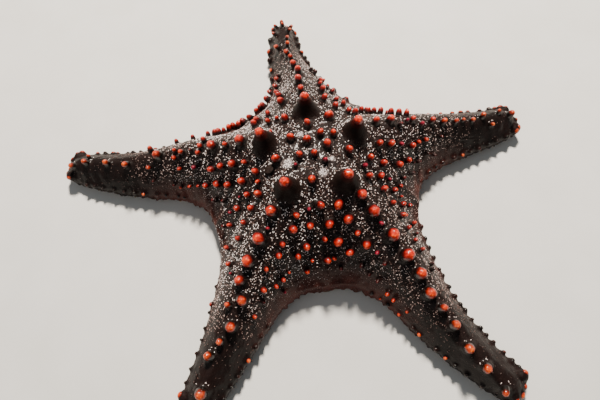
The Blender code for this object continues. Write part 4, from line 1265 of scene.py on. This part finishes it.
def region(arm, s, v):
    """How pale the flecks are and how brown the skin is at a place, partly as painted light and shade."""
    radius = np.hypot(s, v)
    out = share(arm, s)
    across = np.abs(v) / np.maximum(half_width(arm, s), PROBE)
    rim = np.where(s < SIDE_AT, grow(radius, *DISC_RIM), grow(across, *ARM_RIM))
    # Painted light and shade: the rims fade where a place faces the light, so flecks are paler and skin less
    # brown.
    lost, over = RIM_LIT
    rim = rim * (1 - lost * ease(facing_light(arm, s, v) / over))
    pale = 1 - DISC_DUSK_SHARE * grow(radius, *DISC_DUSK) - RIM_DUSK_SHARE * rim
    pale = pale * (1 - ARM_DUSK_SHARE * grow(out, *ARM_DUSK))
    brown = rim * (1 - grow(out, *BROWN_END))
    return np.clip(pale, 0, 1), np.clip(brown, 0, 1)


def edge_places(arm, pitch, drift, draw):
    """Distances along an arm, and sides, for a row along the edges of its side walls."""
    length = ARM_LENGTHS[arm] - TIP_CLEAR - SIDE_AT
    count = round(length / pitch)
    s = SIDE_AT + (np.arange(count)[None] + 0.5 + drift * draw.uniform(-1, 1, (2, count))) * length / count
    return s.ravel(), np.repeat((1, -1), count)


def make_skin(knobs):
    """The one skin: arms, disc, stalks, cones and teeth melted together and thinned, then given relief."""
    templates = {kind: turned(*form) for kind, form in STALKS.items()}
    tooth = turned(TOOTH_SIDES, TOOTH_PROFILE)
    parts = []
    for arm in ARMS:
        parts.append(wrap_arm(arm))
        mine = knobs[arm]
        shape = np.where(np.isin(mine["kind"], ("great", "edge")), mine["kind"], "other")
        for kind, template in templates.items():
            some = shape == kind
            parts.append(spread("stalks", template, (mine["origins"][some], mine["turns"][some]),
                                mine["sizes"][some]))
        draw = draws("teeth", arm)
        s, side = edge_places(arm, TOOTH_PITCH, TOOTH_DRIFT, draw)
        height = np.minimum(TOOTH_HEIGHT, edge_height(arm, s) / 2) * draw.uniform(*TOOTH_HEIGHTS, len(s))
        sizes = np.array(TOOTH_SIZE)[None] * (1 - TOOTH_SMALLER_OUTWARDS * share(arm, s))[:, None]
        sizes = sizes * draw.uniform(*TOOTH_SIZES, (len(s), 1))
        parts.append(spread("teeth", tooth, edge_frames(arm, s, side, height, TOOTH_LIFT), sizes))
    remove(tooth, *templates.values())
    skin = join(parts, "skin")
    apply_modifier(skin, "REMESH", mode="VOXEL", voxel_size=VOXEL, adaptivity=0.0, use_smooth_shade=True)
    apply_modifier(skin, "SMOOTH", factor=0.5, iterations=SKIN_SMOOTHING)
    apply_modifier(skin, "DECIMATE", decimate_type="COLLAPSE", ratio=SKIN_KEPT)
    shape_skin(skin, knobs)
    skin.data.shade_smooth()
    return skin


# Papulae


def unrolled_rows(arm):
    """Rows across the unrolled skin of an arm: distances s, places v, heights z and arc lengths."""
    s_rows = np.arange(PAPULA_PITCH / 2, ARM_LENGTHS[arm] - NEAR_TIP, PAPULA_PITCH * math.sqrt(3) / 2)
    for row, s in enumerate(s_rows):
        width = float(half_width(arm, s))
        over = np.linspace(-width, width, ROW_POINTS)
        z = top_height(arm, s, over)
        if s > SIDE_AT:
            wall = np.linspace(float(edge_height(arm, s)), WALL_FOOT, WALL_POINTS)[1:]
            over = np.concatenate((np.full(len(wall), -width), over, np.full(len(wall), width)))
            z = np.concatenate((wall[::-1], z, wall))
        arc = np.concatenate(([0.0], np.cumsum(np.hypot(np.diff(over), np.diff(z)))))
        yield row, s, over, z, arc - arc[-1] / 2


def papula_places(arm, draw):
    """Places for papulae on a jittered, brick-like net over the unrolled skin."""
    rows = []
    for row, s, over, z, arc in unrolled_rows(arm):
        count = int((arc[-1] - arc[0]) / PAPULA_PITCH)
        shift = BRICK_SHIFT if row % 2 else -BRICK_SHIFT
        spots = (np.arange(count) - (count - 1) / 2 + shift) * PAPULA_PITCH
        spots = spots + PAPULA_JITTER * PAPULA_PITCH * draw.uniform(-1, 1, count)
        along = s + PAPULA_JITTER * PAPULA_PITCH * draw.uniform(-1, 1, count)
        rows.append(np.stack((along, np.interp(spots, arc, over), np.interp(spots, arc, z), spots), axis=-1))
    return np.concatenate(rows).T


def round_knobs(spots, knobs):
    """How clear places are of the knobs round them, and how near the bright side of an outer ridge knob,
    where papulae are set white as painted glints.

    A knob's bare ring is widest on the side that faces -Y, away from the light, as a painted shadow.
    """
    clear = np.ones(len(spots))
    glint = np.zeros(len(spots))
    for arm, mine in enumerate(knobs):
        outer = (mine["kind"] == "ridge") & (share(arm, mine["s"]) > GLINTS_FROM)
        for kind, spot, radius, glints in zip(mine["kind"], mine["origins"], mine["radius"], outer):
            offset = spots - spot
            apart = np.linalg.norm(offset, axis=1)
            below = -offset[:, 1] / np.maximum(apart, PROBE)
            ring = KNOB_BARE_RING * (RING_SHARE + RING_BY_RADIUS * radius / KNOB_BARE_RING)
            # The ring and a great cone's bare foot grow on the side away from the light: painted shadow.
            ring = ring * (1 + RING_SHADOW_PAINTED * np.maximum(below, 0))
            bare = radius * (BARE_CONE + BARE_CONE_SHADOW_PAINTED * below if kind == "great" else BARE_FOOT)
            clear = np.minimum(clear, ease((apart - bare) / ring))
            # Painted highlights: white papulae on the lit side of the outer ridge knobs.
            if glints:
                on_ring = (apart > GLINT_ROOT * radius) & (apart < radius + GLINT_RING)
                glint = np.maximum(glint, on_ring & (below < -GLINT_SIDE))
    return clear, glint


def white_patch(arm, s, v):
    """1 in the middle of the disc's white patches, falling to 0 at their rims."""
    white = np.zeros(len(s))
    for owner, patch_s, patch_v, radius in WHITE_PATCHES:
        if owner == arm:
            apart = np.hypot(s - patch_s * MM, v - patch_v * MM)
            white = np.maximum(white, fall(apart, radius * MM, WHITE_PATCH_SOFT * radius * MM))
    return white


def settle(spots, tree):
    """Nearest points and normals on the skin."""
    found = [tree.find_nearest(Vector(spot))[:2] for spot in spots]
    return np.array([spot for spot, _ in found]), np.array([normal for _, normal in found])


def make_papulae(arm, knobs, tree, material):
    """The papulae of one arm and its wedge of the disc, as one piece."""
    draw = draws("papulae", arm)
    template = make_bead(PAPULA_BEND)
    s, v, z, arc = papula_places(arm, draw)
    spots = place(arm, s, v, z)
    pale, brown = region(arm, s, v)
    # Painted light: on sides that face the light the flecks reach further out along the arm.
    lit = np.maximum(facing_light(arm, s, v), 0)
    start, over = FLECKS_END
    fade = 1 - FLECKS_LOST_OUTWARDS * ease((share(arm, s) - start - LIT_FLECKS_REACH * lit) / over)
    white = white_patch(arm, s, v)
    clear, glint = round_knobs(spots, knobs)
    chance = FLECK_CHANCE + PALE_CHANCE * pale + WHITE_CHANCE * white
    chance = np.maximum(chance * fade * FLECK_SHARES[arm] * clear, GLINT_CHANCE * glint)
    wanted = draw.random(len(s)) < chance
    s, arc, spots, pale, brown, white, glint = (
        values[wanted] for values in (s, arc, spots, pale, brown, white, glint))
    origins, normals = settle(spots, tree)
    count = len(s)
    frames = frames_from(origins, unit(draw.normal(0, 1, (count, 3))), normals)
    length = draw.uniform(*PAPULA_LENGTHS, count)
    width = PAPULA_WIDTH * (1 + WHITE_WIDER * white)
    sizes = np.stack((length, width, np.full(count, PAPULA_HEIGHT)), axis=-1)
    sizes *= (1 - BROWN_SMALLER * brown)[:, None]
    is_bright = draw.random(count) < BRIGHT_SHARE
    bright = np.where(is_bright, draw.uniform(*BRIGHT_TONES, count), draw.uniform(*DIM_TONES, count))
    tone = DARKEST_TONE + (1 - DARKEST_TONE) * FLECK_TONES[arm] * pale * bright
    # The glint papulae are made white: painted highlights.
    tone = np.clip(np.maximum(tone, np.maximum(white, GLINT_TONE * glint)), 0, 1)
    papulae = spread(f"papulae_{ARM_NAMES[arm]}", template, frames, sizes, tone=tone)
    add_patches(papulae, template, arm, s, arc)
    remove(template)
    dress(papulae, material, "skin")


# Underside


def granule_places(arm):
    """Places for granules on the flats beside an arm's groove, on a brick-like net."""
    rows = []
    s_rows = np.arange(MOUTH_RADIUS + GRANULES_FROM, ARM_LENGTHS[arm] - BEFORE_TIP,
                       GRANULE_PITCH * math.sqrt(3) / 2)
    for row, s in enumerate(s_rows):
        inner = float(groove(arm, s)[0]) + GROOVE_SPINE_ROOM
        flat = 1.0 if s < SIDE_AT else FLAT_SHARE + GRANULES_PAST_FLAT
        outer = float(half_width(arm, s)) * flat - GRANULES_INSET
        v = np.arange(inner + (GRANULE_PITCH / 2 if row % 2 else 0.0), outer, GRANULE_PITCH)
        rows.append(np.stack((np.full(2 * len(v), s), np.concatenate((v, -v))), axis=-1))
    return np.concatenate(rows).T


def make_granules(arm, material):
    """The flat-lying granules on the underside of one arm and its wedge of the disc, as one piece."""
    draw = draws("granules", arm)
    template = make_bead()
    s, v = granule_places(arm)
    count = len(s)
    s = s + GRANULE_DRIFT[0] * GRANULE_PITCH * draw.uniform(-1, 1, count)
    v = v + GRANULE_DRIFT[1] * GRANULE_PITCH * draw.uniform(-1, 1, count)
    origins = place(arm, s, v, GRANULE_DEPTH)
    frames = frames_from(origins, unit(draw.normal(0, 1, (count, 3))), np.tile(-UP, (count, 1)))
    wide = GRANULE_PITCH * draw.uniform(*GRANULE_WIDTHS, count)
    sizes = np.stack((wide, wide, np.full(count, GRANULE_DEPTH)), axis=-1)
    darker, over = GRANULES_DARKER_OUTWARDS
    tone = np.clip(draw.uniform(*GRANULE_TONES, count) - darker * ease(share(arm, s) / over), 0, 1)
    granules = spread(f"granules_{ARM_NAMES[arm]}", template, frames, sizes, tone=tone)
    add_patches(granules, template, arm, s, v)
    remove(template)
    dress(granules, material, "skin")


def make_groove_spines(arm, material):
    """Two rows of small blunt spines on each side of an arm's groove, leaning over it, as one piece."""
    draw = draws("groove_spines", arm)
    template = turned(GROOVE_SPINE_SIDES, SPINE_PROFILE)
    rows = []
    for side in (1, -1):
        for row, (offset, scale) in enumerate(GROOVE_SPINE_ROWS):
            s = np.arange(MOUTH_RADIUS + GROOVE_SPINES_FROM + row * GROOVE_SPINE_STAGGER,
                          ARM_LENGTHS[arm] - BEFORE_TIP, GROOVE_SPINE_PITCH)
            rows.append(np.stack((s, side * (groove(arm, s)[0] + offset), np.full(len(s), scale)), axis=-1))
    s, v, scale = np.concatenate(rows).T
    origins = place(arm, s, v, GROOVE_SPINE_HEIGHT)
    turn = draw.uniform(-GROOVE_SPINE_TURN, GROOVE_SPINE_TURN, len(s))
    angle = heading(arm, s) - np.sign(v) * (math.pi / 2 + turn)
    outward = np.stack((np.cos(angle), np.sin(angle), np.full(len(s), GROOVE_SPINE_DROP)), axis=-1)
    frames = frames_from(origins, UP, outward)
    scale = scale * (1 - GROOVE_SPINES_SMALLER * np.clip(share(arm, s), 0, 1))
    scale = scale * draw.uniform(*GROOVE_SPINE_SCALES, len(s))
    sizes = scale[:, None] * np.array(GROOVE_SPINE_SIZE)[None]
    spines = spread(f"groove_spines_{ARM_NAMES[arm]}", template, frames, sizes,
                    tone=draw.uniform(*GROOVE_SPINE_TONES, len(s)))
    add_patches(spines, template, arm, s, v)
    remove(template)
    dress(spines, material, "skin")


def make_feet(arm, material):
    """The tube feet in two rows along an arm's groove, each ending in a sucker on the floor."""
    draw = draws("tube_feet", arm)
    template = turned(FOOT_SIDES, FOOT_PROFILE)
    s = np.arange(MOUTH_RADIUS + FEET_FROM, ARM_LENGTHS[arm] - FEET_BEFORE_TIP, FOOT_PITCH)
    s = np.concatenate((s, s + FOOT_PITCH / 2))
    half, depth = groove(arm, s)
    v = half * FOOT_OUT * np.where(np.arange(len(s)) < len(s) / 2, 1, -1)
    root = depth - FOOT_SINK
    origins = place(arm, s, v, root)
    lean = draw.uniform(-FOOT_LEAN, FOOT_LEAN, (len(s), 2))
    outward = np.stack((lean[:, 0], lean[:, 1], np.full(len(s), -1.0)), axis=-1)
    frames = frames_from(origins, np.array((1.0, 0.0, 0.0)), outward)
    radius = FOOT_RADIUS * (1 - FEET_NARROWER * np.clip(share(arm, s), 0, 1))
    sizes = np.stack((radius, radius, root - FOOT_CLEAR), axis=-1)
    rise = np.tile(np.clip(points_of(template)[:, 2], 0, 1), (len(s), 1))
    feet = spread(f"tube_feet_{ARM_NAMES[arm]}", template, frames, sizes, rise=rise)
    remove(template)
    dress(feet, material, "mouth_membrane")


def make_mouth(material):
    """The puckered membrane round the mouth."""
    low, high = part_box("mouth")
    radius = (high.x - low.x) / 2
    deep = high.z - low.z
    membrane = turned(MOUTH_SIDES, MOUTH_PROFILE)
    points = points_of(membrane)
    angle = np.arctan2(points[:, 1], points[:, 0])
    out = np.hypot(points[:, 0], points[:, 1])
    pucker = PUCKER_DEPTH * np.cos(PUCKERS * angle)
    points[:, 2] += pucker * grow(out, *PUCKERS_FROM) * fall(out, *PUCKERS_TO)
    points = points * np.array((radius, radius, -deep)) + np.array((STAR_CENTRE.x, STAR_CENTRE.y, high.z))
    set_points(membrane, points)
    bpy.ops.object.mode_set(mode="EDIT")
    close_and_turn_out()
    finish_form(membrane, "mouth_membrane")
    dress(membrane, material, "mouth_membrane", "mouth")


def make_jaw_spines(material):
    """The spines on the five jaws, which point in over the mouth."""
    spine = turned(JAW_SPINE_SIDES, SPINE_PROFILE)
    origins = []
    outward = []
    for arm in ARMS:
        between_arms = heading(arm, 0.0) + HALF_SPREAD
        for aside in JAW_SPINES_ASIDE:
            angle = between_arms + aside
            origins.append((STAR_CENTRE.x + MOUTH_RADIUS * JAW_SPINES_AT * math.cos(angle),
                            STAR_CENTRE.y + MOUTH_RADIUS * JAW_SPINES_AT * math.sin(angle), JAW_SPINE_HEIGHT))
            inward = between_arms + math.pi - JAW_SPINES_MEET * aside
            outward.append((math.cos(inward), math.sin(inward), JAW_SPINE_DROP))
    frames = frames_from(np.array(origins), UP, np.array(outward))
    sizes = np.tile(np.array(JAW_SPINE_SIZE), (len(origins), 1))
    jaws = spread("jaw_spines", spine, frames, sizes, tone=np.full(len(origins), JAW_SPINE_TONE))
    remove(spine)
    dress(jaws, material, "skin")


def make_eyespots(material):
    """The red-tipped feeler at each groove's outer end."""
    for arm in ARMS:
        name = f"eyespot_{ARM_NAMES[arm]}"
        low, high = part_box(name)
        clear_selection()
        bpy.ops.mesh.primitive_uv_sphere_add(segments=EYESPOT_SIDES, ring_count=EYESPOT_RINGS, radius=1.0)
        feeler = bpy.context.object
        points = points_of(feeler) * np.array(EYESPOT_SIZE) / 2
        turn = heading(arm, ARM_LENGTHS[arm])
        cos, sin = np.cos(turn), np.sin(turn)
        middle = (low + high) / 2
        x = points[:, 0] * cos - points[:, 1] * sin + middle.x
        y = points[:, 0] * sin + points[:, 1] * cos + middle.y
        set_points(feeler, np.stack((x, y, points[:, 2] + middle.z), axis=-1))
        finish_form(feeler, f"feeler_{ARM_NAMES[arm]}")
        dress(feeler, material, "eyespot", name)


def make_sieve_plate(material):
    """The sieve plate: a low button with furrows that wander out from its middle and fork near its rim."""
    plate = turned(PLATE_SIDES, PLATE_PROFILE)
    apply_modifier(plate, "SUBSURF", levels=1, render_levels=1)
    points = points_of(plate)
    angle = np.arctan2(points[:, 1], points[:, 0])
    out = np.hypot(points[:, 0], points[:, 1])
    wander, outwards, round_it, turns = PLATE_WANDER
    wander = wander * np.sin(outwards * out + round_it * np.cos(turns * angle))
    forks = np.where(out > PLATE_FORKS_AT, 2, 1)
    ridge = np.abs(np.cos((PLATE_FURROW_COUNT * angle + wander) * forks / 2))
    top = grow(points[:, 2], *PLATE_TOP)
    points[:, 2] -= PLATE_FURROW_DEPTH * top * (1 - ridge) ** 2 * ease(out / PLATE_FURROW_FROM)
    origins, turns = surface_frames(MADREPORITE_ARM, [MADREPORITE_PLACE[0]], [MADREPORITE_PLACE[1]])
    size = np.array((MADREPORITE_RADIUS, MADREPORITE_RADIUS, MADREPORITE_RISE))
    set_points(plate, (points * size) @ turns[0].T + origins[0])
    # Rise is low in the furrows and down the sides, which are painted darker as shade.
    set_attribute(plate, "rise", np.clip(ridge * top, 0, 1))
    finish_form(plate, "sieve_plate")
    dress(plate, material, "sieve_plate", "madreporite")


# Stage


def make_floor():
    """Plain pale floor."""
    clear_selection()
    bpy.ops.mesh.primitive_plane_add(size=FLOOR_SIZE)
    floor = bpy.context.object
    floor.name = "floor"
    material, tree, shader = new_material("pale_matt_floor")
    where = add_node(tree, "ShaderNodeTexCoord").outputs["Object"]
    cloud = add_node(tree, "ShaderNodeTexNoise", Vector=where, Scale=FLOOR_CLOUDS, Detail=3.0).outputs["Fac"]
    add_colour(tree, shader, cloud, ((0.3, "#d6d5d1"), (0.7, "#dcdbd8")))
    set_finish(shader, Roughness=0.8)
    floor.data.materials.append(material)


def add_area_light(name, energy, size, location, colour):
    """Soft square light that faces the star."""
    light = bpy.data.lights.new(name, "AREA")
    light.energy = energy
    light.size = size
    light.color = srgb(colour)[:3]
    lamp = bpy.data.objects.new(name, light)
    lamp.location = location
    lamp.rotation_euler = (LIT_POINT - Vector(location)).to_track_quat("-Z", "Y").to_euler()
    bpy.context.scene.collection.objects.link(lamp)


def light_stage():
    """Soft key light from beyond the star, a wide weak fill from the left, and a pale surround."""
    for light in LIGHTS:
        add_area_light(*light)
    world = bpy.data.worlds.new("pale_surround")
    world.use_nodes = True
    background = world.node_tree.nodes["Background"]
    background.inputs["Color"].default_value = srgb(SURROUND_COLOUR)
    background.inputs["Strength"].default_value = SURROUND_STRENGTH
    bpy.context.scene.world = world


def make_camera():
    """Camera at the photograph's angle and distance."""
    data = bpy.data.cameras.new("camera")
    data.sensor_width = CAMERA_SENSOR
    data.lens = CAMERA_LENS
    data.clip_start = CAMERA_CLIP
    elevation = math.radians(CAMERA_ELEVATION)
    back = Vector((0.0, -math.cos(elevation), math.sin(elevation)))
    camera = bpy.data.objects.new("camera", data)
    target = Vector(CAMERA_TARGET) + Vector((STAR_CENTRE.x, STAR_CENTRE.y, 0.0))
    turn = (-back).to_track_quat("-Z", "Y").to_matrix() @ Matrix.Rotation(math.radians(CAMERA_ROLL), 3, "Z")
    camera.matrix_world = Matrix.Translation(target + back * CAMERA_DISTANCE) @ turn.to_4x4()
    bpy.context.scene.collection.objects.link(camera)
    bpy.context.scene.camera = camera


def main():
    """Dress the star, then its stage."""
    make_camera()
    knobs = [knobs_of(arm) for arm in ARMS]
    skin = make_skin(knobs)
    tree = BVHTree.FromObject(skin, bpy.context.evaluated_depsgraph_get())
    dress(skin, wet_skin(), "skin", "disc", *(f"arm_{name}" for name in ARM_NAMES))
    templates = make_knob_templates()
    crown = wet_crown()
    papula = soft_papula()
    granule = limy_granule()
    foot = clear_foot()
    for arm in ARMS:
        make_crowns(arm, knobs[arm], templates, crown)
        make_papulae(arm, knobs, tree, papula)
        make_granules(arm, granule)
        make_groove_spines(arm, granule)
        make_feet(arm, foot)
    remove(*templates.values())
    make_mouth(wet_membrane())
    make_jaw_spines(granule)
    make_eyespots(red_eyespot())
    make_sieve_plate(furrowed_plate())
    make_floor()
    light_stage()


main()
